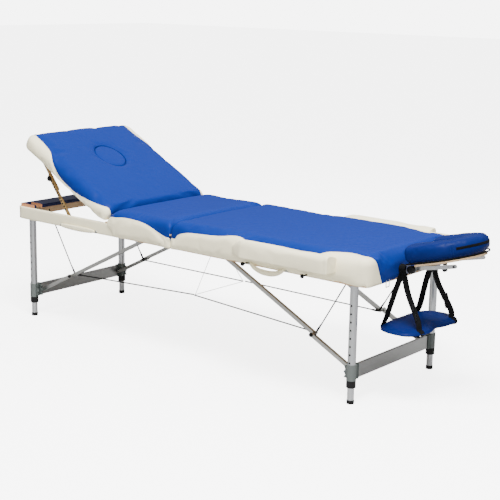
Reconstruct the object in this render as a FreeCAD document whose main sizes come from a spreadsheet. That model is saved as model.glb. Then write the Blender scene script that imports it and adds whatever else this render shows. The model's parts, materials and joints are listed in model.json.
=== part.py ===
import FreeCAD, Part

import math
import os
import re

import Sketcher

# A portable massage table that folds like a suitcase: two half frames joined by a centre hinge, a backrest,
# telescoping legs with knee braces and cables, a tilting face cradle, a hanging arm shelf and side armrests.
# Lengths are millimetres, +Z is up and the floor is z = 0. The head end is +X and the near side is -Y.
# Every x in this file is measured from the centre seam; seam_x moves the seam to its place in the part's
# frame, whose origin is on the floor under the middle of the whole length.

DIMENSIONS = {
    "seam_x": -143.954,
    "half_len": 925, "seam_gap": 3, "fold_z": 435,
    "rail_out": 300, "rail_thick": 12, "rail_low": 440, "rail_top": 490, "end_rail": 18,
    "corner": 30,
    "deck_thick": 6, "pad_top": 545, "pad_out": 303,
    "board_in": 815, "board_out": 905, "board_half": 292, "board_thick": 15,
    "recline_x": -373, "recline_z": 499, "recline": 28.5,
    "wedge": 36, "seat_start": 368,
    "back_start": 376, "back_end": 938, "back_low": 505, "back_top": 550, "back_corner": 46,
    "plug_x": -713, "plug_long": 78, "plug_wide": 68, "plug_gap": 1,
    "leg_x": 855, "leg_y": 270, "tube_out": 15, "tube_in": 12.55, "tube_top": 473, "leg_pivot_z": 458,
    "inner_out": 12.5, "inner_in": 11, "inner_top": 390, "foot_out": 13.5, "foot_top": 14,
    "hole_top_z": 363, "hole_pitch": 30, "hole_rad": 4, "button_rad": 3.4, "button_z": 333,
    "bracket_out": 17.9, "bracket_low": 87, "bracket_top": 146, "collar_low": 61, "collar_out": 17.5,
    "panel_thick": 12, "panel_low": 90, "panel_top": 142, "panel_end": 251,
    "brace_leg_dx": 20, "brace_leg_z": 115, "brace_top_x": 120, "brace_top_z": 478,
    "link_half": 7, "pin_rad": 4, "pin_gap": 0.05,
    "upper_link_y": 213, "lower_link_y": 229, "link_wide": 14,
    "cable_rad": 1.6, "stay_rad": 1.5, "stay_y": 210, "stay_x": 815, "cord_rad": 1.2,
    "junction_z": 225, "junction_y": 151, "cord_top_x": -12, "cord_top_z": 438.7,
    "prop_x": -620, "prop_z": 482, "prop_len": 199, "strut_len": 185, "prop_wide": 13,
    "prop_thick": 8, "prop_y": 262,
    "prop_reach": 500, "prop_drop": 6, "prop_pin": 3, "knob_rad": 11,
    "slot_in": 249, "slot_out": 284, "slot_end": 887,
    "socket_z": 478, "arm_y": 100, "rod_rad": 5, "rod_in": 790, "rod_out": 972,
    "tilt_x": 989, "tilt_z": 487, "tilt": 12, "arm_len": 166, "cradle_half": 150,
    "pad_tilt": 14, "pillow_start": 2, "pillow_end": 236, "pillow_low": 21, "pillow_top": 84,
    "plate_start": 30, "plate_low": 11, "plate_top": 18,
    "sling_x": 945, "sling_z": 466, "shelf_in": 870, "shelf_out": 1054, "shelf_half": 165,
    "shelf_low": 254, "shelf_top": 280, "strap_wide": 18, "strap_thick": 2,
    "armrest_tip": 330, "armrest_end": 800, "armrest_in": 304, "armrest_out": 366,
    "armrest_low": 477, "armrest_top": 548,
    "armrest_rod_z": 481, "armrest_rod_near": 394, "armrest_rod_far": 670,
    "knob_z": 447, "ball_rad": 8,
    "handle_z": 448, "handle_y": 304, "handle_thick": 12,
}

NEAR, FAR = -1, 1
SIDES = {"near": NEAR, "far": FAR}
ENDS = {"a": -1, "b": 1}
ALONG = {
    "x": FreeCAD.Rotation(FreeCAD.Vector(0, 1, 0), 90),
    "y": FreeCAD.Rotation(FreeCAD.Vector(1, 0, 0), -90),
    "z": FreeCAD.Rotation(),
}

doc = FreeCAD.newDocument("massage_table")
nodes = []


def make_sheet():
    """The driving dimensions, one row each, named by their aliases."""
    sheet = doc.addObject("Spreadsheet::Sheet", "Dims")
    for row, (name, size) in enumerate(DIMENSIONS.items(), start=1):
        sheet.set(f"A{row}", name)
        sheet.set(f"B{row}", str(size))
        sheet.setAlias(f"B{row}", name)
    doc.recompute()


def formula(text):
    """The same formula with each dimension's name pointing at its cell."""
    return re.sub(r"[a-z]\w*", lambda word: "Dims." + word.group(), str(text))


def value(text):
    """What a formula comes to, in plain numbers."""
    numbers = re.sub(r"[a-z]\w*", lambda word: f"({DIMENSIONS[word.group()]})", str(text))
    return FreeCAD.Units.Quantity(numbers).Value


def bind_place(item, x, y, z):
    """Ties an object's position to the sheet, with x measured from the seam."""
    item.setExpression("Placement.Base.x", formula(f"seam_x + ({x})"))
    item.setExpression("Placement.Base.y", formula(y))
    item.setExpression("Placement.Base.z", formula(z))


def box(x, y, z):
    """A block between a low and a high formula along each axis."""
    item = doc.addObject("Part::Box", "block")
    for size, (low, high) in (("Length", x), ("Width", y), ("Height", z)):
        item.setExpression(size, formula(f"({high}) - ({low})"))
    bind_place(item, x[0], y[0], z[0])
    return item


def rod(axis, radius, start, length):
    """A cylinder that runs from its start point along +axis."""
    item = doc.addObject("Part::Cylinder", "rod")
    item.Placement = FreeCAD.Placement(FreeCAD.Vector(), ALONG[axis])
    item.setExpression("Radius", formula(radius))
    item.setExpression("Height", formula(length))
    bind_place(item, *start)
    return item


def ball(radius, centre):
    item = doc.addObject("Part::Sphere", "ball")
    item.setExpression("Radius", formula(radius))
    bind_place(item, *centre)
    return item


def oval(x, z, half_x, half_y, height):
    """An upright elliptical column centred on y = 0."""
    rim = doc.addObject("Part::Ellipse", "oval_rim")
    rim.setExpression("MajorRadius", formula(half_x))
    rim.setExpression("MinorRadius", formula(half_y))
    bind_place(rim, x, "0", z)
    column = doc.addObject("Part::Extrusion", "oval_column")
    column.Base = rim
    column.DirMode = "Custom"
    column.Dir = (0, 0, 1)
    column.Solid = True
    column.setExpression("LengthFwd", formula(height))
    return column


def band(y_low, y_high, side):
    """A y range given outwards from the middle, on the near or the far side."""
    return (y_low, y_high) if side == FAR else (f"-({y_high})", f"-({y_low})")


def span(x_low, x_high, end):
    """An x range given outwards from the seam, on half a or half b."""
    return (x_low, x_high) if end == 1 else (f"-({x_high})", f"-({x_low})")


def fuse(parts):
    item = doc.addObject("Part::MultiFuse", "joined")
    item.Shapes = parts
    return item


def cut(base, tools):
    item = doc.addObject("Part::Cut", "trimmed")
    item.Base = base
    item.Tool = tools[0] if len(tools) == 1 else fuse(tools)
    return item


def padded(plane_role, corners, length, place, name, midplane=False):
    """A body padded from a closed outline of formula corners; a third pair makes the edge after a corner bend
    through that point."""
    body = doc.addObject("PartDesign::Body", name + "_body")
    plane = next(f for f in body.Origin.OriginFeatures if f.Role == plane_role)
    sketch = body.newObject("Sketcher::SketchObject", name + "_outline")
    sketch.AttachmentSupport = [(plane, "")]
    sketch.MapMode = "FlatFace"
    points = [FreeCAD.Vector(value(corner[0]), value(corner[1]), 0) for corner in corners]
    reversed_edges = set()
    for index, corner in enumerate(corners):
        start, end = points[index], points[(index + 1) % len(points)]
        if len(corner) == 2:
            sketch.addGeometry(Part.LineSegment(start, end), False)
            continue
        bend = FreeCAD.Vector(value(corner[2]), value(corner[3]), 0)
        if (bend - start).cross(end - bend).z < 0:
            reversed_edges.add(index)
            start, end = end, start
        sketch.addGeometry(Part.Arc(start, bend, end), False)
    for index, corner in enumerate(corners):
        first = 2 if index in reversed_edges else 1
        before = (index - 1) % len(corners)
        last = 1 if before in reversed_edges else 2
        sketch.addConstraint(Sketcher.Constraint("Coincident", before, last, index, first))
        for kind, text in (("DistanceX", corner[0]), ("DistanceY", corner[1])):
            number = sketch.addConstraint(Sketcher.Constraint(kind, -1, 1, index, first, value(text)))
            sketch.setExpression(f"Constraints[{number}]", formula(text))
    pad = body.newObject("PartDesign::Pad", name + "_pad")
    pad.Profile = sketch
    pad.setExpression("Length", formula(length))
    pad.Midplane = midplane
    bind_place(body, *place)
    return body


def node(name, parts, turn=0, about=("0", "0")):
    """Finishes one sub-part: its solids as a group under its own name, turned about a Y axis if asked."""
    item = doc.addObject("Part::Compound", name)
    item.Label = name
    item.Links = parts
    centre = FreeCAD.Vector(value(f"seam_x + ({about[0]})"), 0, value(about[1]))
    turned = FreeCAD.Rotation(FreeCAD.Vector(0, 1, 0), turn)
    item.Placement = FreeCAD.Placement(FreeCAD.Vector(), turned, centre)
    nodes.append(item)


def swung_node(name, parts, anchor, angle):
    """One sub-part drawn flat from the seam, then turned about Y and carried to its pivot."""
    item = doc.addObject("Part::Compound", name)
    item.Label = name
    item.Links = parts
    turned = FreeCAD.Rotation(FreeCAD.Vector(0, 1, 0), angle)
    seam = FreeCAD.Vector(value("seam_x"), 0, 0)
    item.Placement = FreeCAD.Placement(anchor + seam - turned.multVec(seam), turned)
    nodes.append(item)


def through_side(radius, x, z, side):
    """A Y-axis drill that passes through everything on one side of the table."""
    return rod("y", radius, (x, "-400" if side == NEAR else "50", z), "350")


def side_rail(end, side):
    rail = box(span("seam_gap", "half_len - corner", end), band("rail_out - rail_thick", "rail_out", side),
               ("rail_low", "rail_top"))
    if end == ENDS["a"]:
        return rail
    holes = [through_side(radius, x, z, side) for x in ("armrest_rod_near", "armrest_rod_far")
             for radius, z in (("4 + pin_gap", "armrest_rod_z"), ("3 + pin_gap", "knob_z"))]
    return cut(rail, holes)


def corner_post(end, side):
    """The rounded block that joins a side rail to the end rail."""
    inner_x, inner_y = f"{end} * (half_len - corner)", f"{side} * (rail_out - corner)"
    bend_x = f"{end} * (half_len - 0.29289 * corner)"
    bend_y = f"{side} * (rail_out - 0.29289 * corner)"
    outline = [(inner_x, inner_y), (f"{end} * half_len", inner_y, bend_x, bend_y),
               (inner_x, f"{side} * rail_out")]
    return padded("XY_Plane", outline, "rail_top - rail_low", ("0", "0", "rail_low"), "corner_post")


def frame_rails(letter):
    """Beech rails: two long sides, the rail at the seam, the end rail, its corners and a batten."""
    end = ENDS[letter]
    inside = ("rail_thick - rail_out", "rail_out - rail_thick")
    seam_rail = box(span("seam_gap", "seam_gap + 15", end), inside, ("rail_low", "rail_top"))
    end_rail = box(span("half_len - end_rail", "half_len", end), ("corner - rail_out", "rail_out - corner"),
                   ("rail_low", "rail_top"))
    parts = [side_rail(end, side) for side in SIDES.values()] + [seam_rail]
    if letter == "b":
        sockets = [rod("x", "rod_rad + pin_gap", ("half_len - 40", f"{side} * arm_y", "socket_z"), "60")
                   for side in SIDES.values()]
        end_rail = cut(end_rail, sockets)
        batten_x = ("600", "640")
    else:
        batten_x = ("-seat_start", "40 - seat_start")
    batten = box(batten_x, ("-140", "140"), ("rail_top - 16", "rail_top"))
    posts = [corner_post(end, side) for side in SIDES.values()]
    node("frame_rails_" + letter, parts + posts + [end_rail, batten])


def panel(square_x, round_x, half, bend, z, name):
    """A flat slab with square corners at one end and rounded corners at the other, x from the seam."""
    sign = 1 if value(round_x) > value(square_x) else -1
    start_x, bend_x = f"{round_x} - {sign} * {bend}", f"{round_x} - {sign} * 0.29289 * {bend}"
    outline = [
        (square_x, f"-{half}"), (start_x, f"-{half}", bend_x, f"0.29289 * {bend} - {half}"),
        (round_x, f"{bend} - {half}"), (round_x, f"{half} - {bend}", bend_x, f"{half} - 0.29289 * {bend}"),
        (start_x, half), (square_x, half),
    ]
    return padded("XY_Plane", outline, f"({z[1]}) - ({z[0]})", ("0", "0", z[0]), name)


def decks_and_pads():
    """Plywood decks, their foam pads and the board across the end that the lowered backrest lies on."""
    board = box(("-board_out", "-board_in"), ("-board_half", "board_half"),
                ("rail_top", "rail_top + board_thick"))
    slots = [box(("-slot_end", "1 - board_in"), band("slot_in", "slot_out", side),
                 ("rail_top - 1", "rail_top + board_thick + 1")) for side in SIDES.values()]
    node("end_board", [cut(board, slots)])
    node("seat_deck", [box(("-seat_start", "-seam_gap"), ("-rail_out", "rail_out"),
                           ("rail_top", "rail_top + deck_thick"))])
    foot_of_pad = "rail_top + deck_thick"
    leg_board = panel("seam_gap", "half_len", "rail_out", "corner", ("rail_top", foot_of_pad), "leg_deck")
    node("leg_deck", [leg_board])
    corners = [("-seat_start", foot_of_pad), ("-seam_gap", foot_of_pad), ("-seam_gap", "pad_top"),
               ("wedge - seat_start", "pad_top")]
    node("seat_cushion", [padded("XZ_Plane", corners, "2 * pad_out", ("0", "0", "0"), "seat_cushion", True)])
    leg_pad = panel("seam_gap", "half_len", "pad_out", "corner", (foot_of_pad, "pad_top"), "leg_cushion")
    node("leg_cushion", [leg_pad])


def knuckle(x, z, y_low, y_high, radius):
    return rod("y", radius, (x, y_low, z), f"({y_high}) - ({y_low})")


def centre_hinge(end):
    """Leaves on the seam rail; the knuckles of the two halves alternate along the fold axis."""
    parts = []
    for middle in (-200, 200):
        start = f"{middle} - 30" if end == ENDS["a"] else f"{middle} + 0.3"
        leaf = box(span("seam_gap + 15", "seam_gap + 17", end), (f"{middle} - 30", f"{middle} + 30"),
                   ("rail_low", "rail_low + 30"))
        foot = box(span("1", "seam_gap + 17", end), (start, f"{start} + 29.5"),
                   ("rail_low - 2.5", "rail_low"))
        barrel = knuckle("0", "fold_z", start, f"{start} + 29.5", "4.5")
        bore = knuckle("0", "fold_z", f"{middle} - 40", f"{middle} + 40", "2.55")
        body = cut(fuse([barrel, foot]), [bore])
        parts.append(fuse([body, leaf]))
        if end == ENDS["a"]:
            parts.append(knuckle("0", "fold_z", f"{middle} - 30", f"{middle} + 30", "2.5"))
    return parts


def leg_hanger(end, side):
    """The U bracket and bolt that a leg swings on."""
    height = ("rail_low + 3", "rail_top - 6")
    x = span("leg_x - 16", "leg_x + 24", end)
    ears = [box(x, band("252", "254", side), height), box(x, band("286", "288", side), height)]
    web = box(span("leg_x + 22", "leg_x + 24", end), band("252", "288", side), height)
    bolt_start = "252" if side == FAR else "-288"
    bolt = rod("y", "pin_rad", (f"{end} * leg_x", bolt_start, "leg_pivot_z"), "36")
    return fuse(ears + [web, bolt])


def brace_lug(end, side):
    """The ear under the deck that carries the upper end of a knee brace."""
    x = span("brace_top_x - 11", "brace_top_x + 11", end)
    ear = box(x, band("228.2", "230.7", side), ("brace_top_z - 11", "rail_top"))
    web = box(x, band("212.5", "230.7", side), ("rail_top - 2.5", "rail_top"))
    pin_start = "upper_link_y" if side == FAR else "-230"
    pin = rod("y", "pin_rad", (f"{end} * brace_top_x", pin_start, "brace_top_z"), "230 - upper_link_y")
    return fuse([ear, web, pin])


def handle_clips(middle, half):
    ends = (f"{middle} - {half}", f"{middle} + {half}")
    return [box((f"{at} - 7", f"{at} + 7"), ("-rail_out - 3.5", "-rail_out"),
                ("handle_z - 7", "handle_z + 7")) for at in ends]


def recline_leaves():
    """Fixed leaves of the backrest hinge, on the end of the seat deck."""
    parts = []
    for middle in (-130, 130):
        leaf = box(("recline_x + 3", "-seat_start"), (f"{middle} - 50", f"{middle} + 50"),
                   ("rail_top - 9", "recline_z - 4"))
        pin = knuckle("recline_x", "recline_z", f"{middle} - 50", f"{middle} + 50", "1.5")
        joined = [leaf, pin]
        for low in (f"{middle} - 50", f"{middle} + 25"):
            joined.append(knuckle("recline_x", "recline_z", low, f"{low} + 25", "3.5"))
            joined.append(box(("recline_x", "-seat_start"), (low, f"{low} + 25"),
                              ("recline_z - 6", "recline_z")))
        parts.append(fuse(joined))
    return parts


def prop_pivot(side):
    """The pin in the side rail that the lower strip of a prop swings on."""
    y_low, y_high = band("prop_y - 0.2", "rail_out - rail_thick", side)
    return rod("y", "prop_pin", ("prop_x", y_low, "prop_z"), f"({y_high}) - ({y_low})")


def frame_fittings(letter):
    """The steel fittings screwed to one half frame."""
    end = ENDS[letter]
    parts = [make(end, side) for make in (leg_hanger, brace_lug) for side in SIDES.values()]
    parts += centre_hinge(end)
    if letter == "a":
        parts += recline_leaves() + handle_clips("-526", 107)
        parts += [prop_pivot(side) for side in SIDES.values()]
    else:
        parts += handle_clips("492", 87) + [latch_plate()]
    node("frame_fittings_" + letter, parts)


def latch_plate():
    plate = box(("half_len", "half_len + 2"), ("-187", "-163"), ("452", "482"))
    ear = box(("half_len + 2", "half_len + 8"), ("-179", "-171"), ("458", "468"))
    return cut(fuse([plate, ear]), [rod("y", "1.8", ("half_len + 5", "-230", "463"), "60")])


def latch_ring():
    """A D ring hanging in the latch plate's ear."""
    wire = "1.7"
    top = rod("y", wire, ("half_len + 5", "-185", "463"), "20")
    sides = [rod("z", wire, ("half_len + 5", y, "425"), "38") for y in ("-185", "-165")]
    low = rod("y", wire, ("half_len + 5", "-185", "425"), "20")
    corners = [ball(wire, ("half_len + 5", y, z)) for y in ("-185", "-165") for z in ("425", "463")]
    node("latch_ring", [fuse([top, low] + sides + corners)])


def handle(letter, middle, half, drop):
    """A carrying handle: a shallow curved grip between two clips on the near rail."""
    left, right = f"{middle} - {half}", f"{middle} + {half}"
    outer = (left, "handle_z - handle_thick / 2", middle, f"handle_z - handle_thick / 2 - {drop}")
    inner = (right, "handle_z + handle_thick / 2", middle, f"handle_z + handle_thick / 2 - {drop}")
    corners = [outer, (right, "handle_z - handle_thick / 2"), inner, (left, "handle_z + handle_thick / 2")]
    node("handle_" + letter, [padded("XZ_Plane", corners, "9", ("0", "-handle_y", "0"), "handle_" + letter)])


def leg_frame(letter):
    """The outer leg tubes, with their height holes and pivot holes, and the panel that joins them."""
    x = f"{ENDS[letter]} * leg_x"
    parts = []
    for side in SIDES.values():
        y = f"{side} * leg_y"
        outer = rod("z", "tube_out", (x, y, "bracket_low"), "tube_top - bracket_low")
        inside = rod("z", "tube_in", (x, y, "bracket_low - 1"), "tube_top - bracket_low + 2")
        pivot = rod("y", "pin_rad + pin_gap", (x, f"{y} - 20", "leg_pivot_z"), "40")
        outer_wall = f"{y} - 20" if side == NEAR else y
        holes = [rod("y", "hole_rad", (x, outer_wall, f"hole_top_z - {step} * hole_pitch"), "20")
                 for step in range(8)]
        parts.append(cut(outer, [inside, pivot] + holes))
    panel = box((f"{x} - panel_thick / 2", f"{x} + panel_thick / 2"), ("-panel_end", "panel_end"),
                ("panel_low", "panel_top"))
    node("leg_frame_" + letter, parts + [panel])


def corner_bracket(end, side):
    """A cast socket round a leg: a slot for the panel and a toothed lug for the brace."""
    x, y = f"{end} * leg_x", f"{side} * leg_y"
    barrel = rod("z", "bracket_out", (x, y, "bracket_low"), "bracket_top - bracket_low")
    socket = box((f"{x} - 9", f"{x} + 9"), band("236", "256", side), ("bracket_low + 1", "bracket_top - 2"))
    reach = -end
    teeth = [(x, "92"), (f"{x} + {reach} * 29", "94"), (f"{x} + {reach} * 23", "105"),
             (f"{x} + {reach} * 30", "115"), (f"{x} + {reach} * 23", "125"),
             (f"{x} + {reach} * 29", "137"), (x, "140")]
    lug = padded("XZ_Plane", teeth, "8", ("0", "252" if side == FAR else "-244", "0"), "lug")
    fin = padded("XZ_Plane", teeth, "8", ("0", "276" if side == FAR else "-268", "0"), "fin")
    pin_start = "lower_link_y" if side == FAR else "-252"
    pin_x = f"{end} * (leg_x - brace_leg_dx)"
    pin = rod("y", "pin_rad", (pin_x, pin_start, "brace_leg_z"), "252 - lower_link_y")
    leg_bore = rod("z", "tube_out + pin_gap", (x, y, "bracket_low - 1"), "bracket_top - bracket_low + 2")
    slot = box((f"{x} - panel_thick / 2 - pin_gap", f"{x} + panel_thick / 2 + pin_gap"),
               band("230", "panel_end + 0.5", side), ("panel_low - pin_gap", "panel_top + pin_gap"))
    return cut(fuse([barrel, socket, lug, fin, pin]), [leg_bore, slot])


def leg_sockets(letter):
    end = ENDS[letter]
    node("corner_brackets_" + letter, [corner_bracket(end, side) for side in SIDES.values()])
    collars = []
    for side in SIDES.values():
        centre = (f"{end} * leg_x", f"{side} * leg_y")
        ring = rod("z", "collar_out", centre + ("collar_low",), "bracket_low - collar_low")
        bore = rod("z", "tube_in", centre + ("collar_low - 1",), "bracket_low - collar_low + 2")
        collars.append(cut(ring, [bore]))
    node("collars_" + letter, collars)


def sliding_leg(side_name, letter):
    """One inner leg with its rubber foot and the spring button that sets its height."""
    side = SIDES[side_name]
    x, y = f"{ENDS[letter]} * leg_x", f"{side} * leg_y"
    name = f"{side_name}_{letter}"
    tube = rod("z", "inner_out", (x, y, "5"), "inner_top - 5")
    bore = rod("z", "inner_in", (x, y, "4"), "inner_top")
    button_hole = rod("y", "button_rad + pin_gap", (x, f"{y} - 20" if side == NEAR else y, "button_z"), "20")
    node("inner_leg_" + name, [cut(tube, [bore, button_hole])])
    cup = rod("z", "foot_out", (x, y, "0"), "foot_top")
    seat = rod("z", "inner_out + pin_gap", (x, y, "5"), "foot_top")
    node("foot_" + name, [cut(cup, [seat])])
    head = rod("y", "button_rad", (x, f"{y} - 12" if side == NEAR else f"{y} + 5", "button_z"), "7")
    spring_y = f"{y} - 6" if side == NEAR else f"{y} + 5"
    spring = box((f"{x} - 4", f"{x} + 4"), (spring_y, f"{spring_y} + 1"), ("button_z - 6", "button_z + 34"))
    node("snap_button_" + name, [fuse([head, spring])])


def knee_points(end):
    """Upper pivot, knee and lower pivot of a brace, seen from the side with x from the seam."""
    top = FreeCAD.Vector(end * value("brace_top_x"), 0, value("brace_top_z"))
    low = FreeCAD.Vector(end * value("leg_x - brace_leg_dx"), 0, value("brace_leg_z"))
    folded = value("leg_x - (leg_pivot_z - brace_leg_z)")
    reach = (low - top).Length
    upper = (reach + folded - value("brace_top_x")) / 2
    return top, top + (low - top) * (upper / reach), low, upper, reach - upper


def link(length, y_low, side, end, groove):
    """A bar with round ends and a pin hole at its start, laid along +x or -x from the seam's own x."""
    low, high = band(y_low, f"{y_low} + link_wide", side)
    bar = box(span("0", f"{length}", end), (low, high), ("-link_half", "link_half"))
    caps = [rod("y", "link_half", (f"{end} * {at}", low, "0"), "link_wide") for at in (0, length)]
    tools = [rod("y", "pin_rad + pin_gap", ("0", f"({low}) - 1", "0"), "link_wide + 2")]
    if groove:
        tools.append(box(span("20", f"{length} - 25", end), (f"({low}) + 2.5", f"({high}) - 2.5"),
                         ("-8", "4")))
    return cut(fuse([bar] + caps), tools)


def braces(letter):
    """The two links of each knee brace; their shared knee is left as a plain butt joint side by side."""
    end = ENDS[letter]
    top, _, low, upper, lower = knee_points(end)
    pitch = math.degrees(math.atan2(top.z - low.z, abs(low.x - top.x)))
    for name, length, y_low, anchor, outwards, groove in (
            ("brace_upper_", upper, "upper_link_y", top, end, True),
            ("brace_lower_", lower, "lower_link_y", low, -end, False)):
        bars = [link(round(length, 3), y_low, side, outwards, groove) for side in SIDES.values()]
        swung_node(name + letter, bars, anchor, end * pitch)


def wire(start, end, radius):
    """A straight run of cable between two points, with x from the seam."""
    item = doc.addObject("Part::Cylinder", "wire")
    item.setExpression("Radius", formula(radius))
    item.Height = (end - start).Length
    seam = FreeCAD.Vector(value("seam_x"), 0, 0)
    item.Placement = FreeCAD.Placement(start + seam, FreeCAD.Rotation(FreeCAD.Vector(0, 0, 1), end - start))
    return item


def cables(letter):
    """The long cable from a knee to the middle, and the short stay from the knee up to the frame."""
    end = ENDS[letter]
    knee = knee_points(end)[1]
    inset = 0 if letter == "a" else 5
    long_runs, stays = [], []
    for side in SIDES.values():
        at_knee = FreeCAD.Vector(knee.x, side * (200 + inset), knee.z)
        at_middle = FreeCAD.Vector(end * 4, side * (value("junction_y") + 4 + inset), value("junction_z"))
        long_runs.append(wire(at_knee, at_middle, "cable_rad"))
        stay_low = FreeCAD.Vector(knee.x, side * value("stay_y"), knee.z)
        stay_top = FreeCAD.Vector(end * value("stay_x"), side * value("stay_y"), value("brace_top_z"))
        stays.append(wire(stay_top, stay_low, "stay_rad"))
    node("cable_long_" + letter, long_runs)
    node("cable_short_" + letter, stays)


def pull_cord():
    """The white cord triangle that draws the cables together and up as the table folds."""
    top = FreeCAD.Vector(value("cord_top_x"), 0, value("cord_top_z"))
    ends = [FreeCAD.Vector(0, side * value("junction_y"), value("junction_z")) for side in SIDES.values()]
    knots = [ball("cord_rad", ("0", f"{side} * junction_y", "junction_z")) for side in SIDES.values()]
    corners = [top] + ends
    runs = [wire(corners[at - 1], corners[at], "cord_rad") for at in range(3)]
    node("pull_cord", [fuse(runs + knots)])


def backrest():
    """The reclining panel: deck with its moving hinge leaves, pad and the oval plug of its face hole."""
    turn = {"turn": value("recline"), "about": ("recline_x", "recline_z")}
    deck = panel("-back_start", "-back_end", "rail_out", "back_corner", ("back_low", "back_low + deck_thick"),
                 "backrest_deck")
    face_hole = oval("plug_x", "back_low - 2", "plug_long - 14", "plug_wide - 14", "deck_thick + 4")
    parts = [cut(deck, [face_hole])]
    for middle in (-130, 130):
        barrel = knuckle("recline_x", "recline_z", f"{middle} - 24.7", f"{middle} + 24.7", "3.5")
        bore = knuckle("recline_x", "recline_z", f"{middle} - 40", f"{middle} + 40", "1.55")
        arm = box(("recline_x - 3.5", "recline_x - 1"), (f"{middle} - 24.7", f"{middle} + 24.7"),
                  ("recline_z", "back_low"))
        leaf = box(("recline_x - 30", "recline_x - 1"), (f"{middle} - 24.7", f"{middle} + 24.7"),
                   ("back_low - 2", "back_low"))
        parts.append(cut(fuse([barrel, arm, leaf]), [bore]))
    for side in SIDES.values():
        x, z = "recline_x - prop_reach", "recline_z - prop_drop"
        y_low, y_high = band("slot_in + 1", "prop_y - prop_thick - 1", side)
        lug = box((f"{x} - 7.5", f"{x} + 7.5"), (y_low, y_high), (f"{z} - 5", "back_low"))
        pin_low, pin_high = band("slot_in + 1", "prop_y - 0.6", side)
        pin = rod("y", "prop_pin", (x, pin_low, z), f"({pin_high}) - ({pin_low})")
        parts.append(fuse([lug, pin]))
    node("backrest_deck", parts, **turn)
    pad = panel("-back_start", "-back_end", "pad_out", "back_corner", ("back_low + deck_thick", "back_top"),
                "backrest_cushion")
    hole = oval("plug_x", "back_low", "plug_long + plug_gap", "plug_wide + plug_gap", "60")
    node("backrest_cushion", [cut(pad, [hole])], **turn)
    plug = oval("plug_x", "back_low + deck_thick + 0.5", "plug_long", "plug_wide",
                "back_top - back_low - deck_thick")
    node("face_plug", [plug], **turn)


def prop_points():
    """Lower and upper pivots of the backrest props, with x from the seam."""
    low = FreeCAD.Vector(value("prop_x"), 0, value("prop_z"))
    hinge = FreeCAD.Vector(value("recline_x"), 0, value("recline_z"))
    flat = FreeCAD.Vector(-value("prop_reach"), 0, -value("prop_drop"))
    top = hinge + FreeCAD.Rotation(FreeCAD.Vector(0, 1, 0), value("recline")).multVec(flat)
    return low, top


def prop_strip(y_low, side, length, hole_count):
    """A wooden strip with round ends, a pivot hole and a row of setting holes."""
    low, high = band(y_low, f"{y_low} + prop_thick", side)
    strip = box(("0", length), (low, high), ("-prop_wide / 2", "prop_wide / 2"))
    caps = [rod("y", "prop_wide / 2", (at, low, "0"), "prop_thick") for at in ("0", length)]
    centres = ["0"] + [f"{length} - 12 - {step} * 14" for step in range(hole_count)]
    holes = [rod("y", "prop_pin + pin_gap", (at, f"({low}) - 1", "0"), "prop_thick + 2") for at in centres]
    return cut(fuse([strip] + caps), holes)


def props():
    """Props under the backrest: a drilled strip on the frame, a plain one on the backrest, a knob each."""
    low, top = prop_points()
    rise = math.degrees(math.atan2(top.z - low.z, low.x - top.x))
    drilled = [prop_strip("prop_y", side, "prop_len", 12) for side in SIDES.values()]
    swung_node("prop_lower", drilled, low, 180 + rise)
    plain = [prop_strip("prop_y - prop_thick - 0.5", side, "strut_len", 0) for side in SIDES.values()]
    swung_node("prop_upper", plain, top, rise)
    spot = low + (top - low).normalize() * value("prop_len - 12")
    knobs = []
    for side in SIDES.values():
        face = band("prop_y + prop_thick + 0.3", "prop_y + prop_thick + 12.3", side)[0]
        knobs.append(rod("y", "knob_rad", (str(spot.x), face, str(spot.z)), "12"))
    node("prop_knobs", knobs)


def headrest_base():
    """Two rods that slide in the end rail, each with a lug for the tilt pivot."""
    parts = []
    for side in SIDES.values():
        bar = rod("x", "rod_rad", ("rod_in", f"{side} * arm_y", "socket_z"), "rod_out - rod_in")
        neck = box(("rod_out - 10", "rod_out"), band("arm_y - 5", "arm_y + 9", side), ("468", "491"))
        lug = box(("rod_out - 10", "tilt_x + 11"), band("arm_y + 4", "arm_y + 9", side),
                  ("tilt_z - 11", "tilt_z + 11"))
        bore = through_side("3 + pin_gap", "tilt_x", "tilt_z", side)
        parts.append(cut(fuse([bar, neck, lug]), [bore]))
    node("headrest_rods", parts)


def crescent(inset, start, low, high, name):
    """A horseshoe in the cradle's own plane, open towards the table."""
    half = f"cradle_half - {inset}"
    stop = f"pillow_end - {inset}"
    notch = f"45 + {inset} / 2"
    side_x, bend_x = "75", f"pillow_end - 46 - {inset}"
    corners = [
        (start, f"-({half})"), (side_x, f"-({half})", bend_x, f"-({half}) * 0.7"),
        (stop, "0", bend_x, f"({half}) * 0.7"), (side_x, half),
        (start, half), (start, notch),
        ("90", notch, "132", "0"), ("90", f"-({notch})"),
        (start, f"-({notch})"),
    ]
    return padded("XY_Plane", corners, f"({high}) - ({low})", ("tilt_x", "0", f"tilt_z + {low}"), name)


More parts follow.
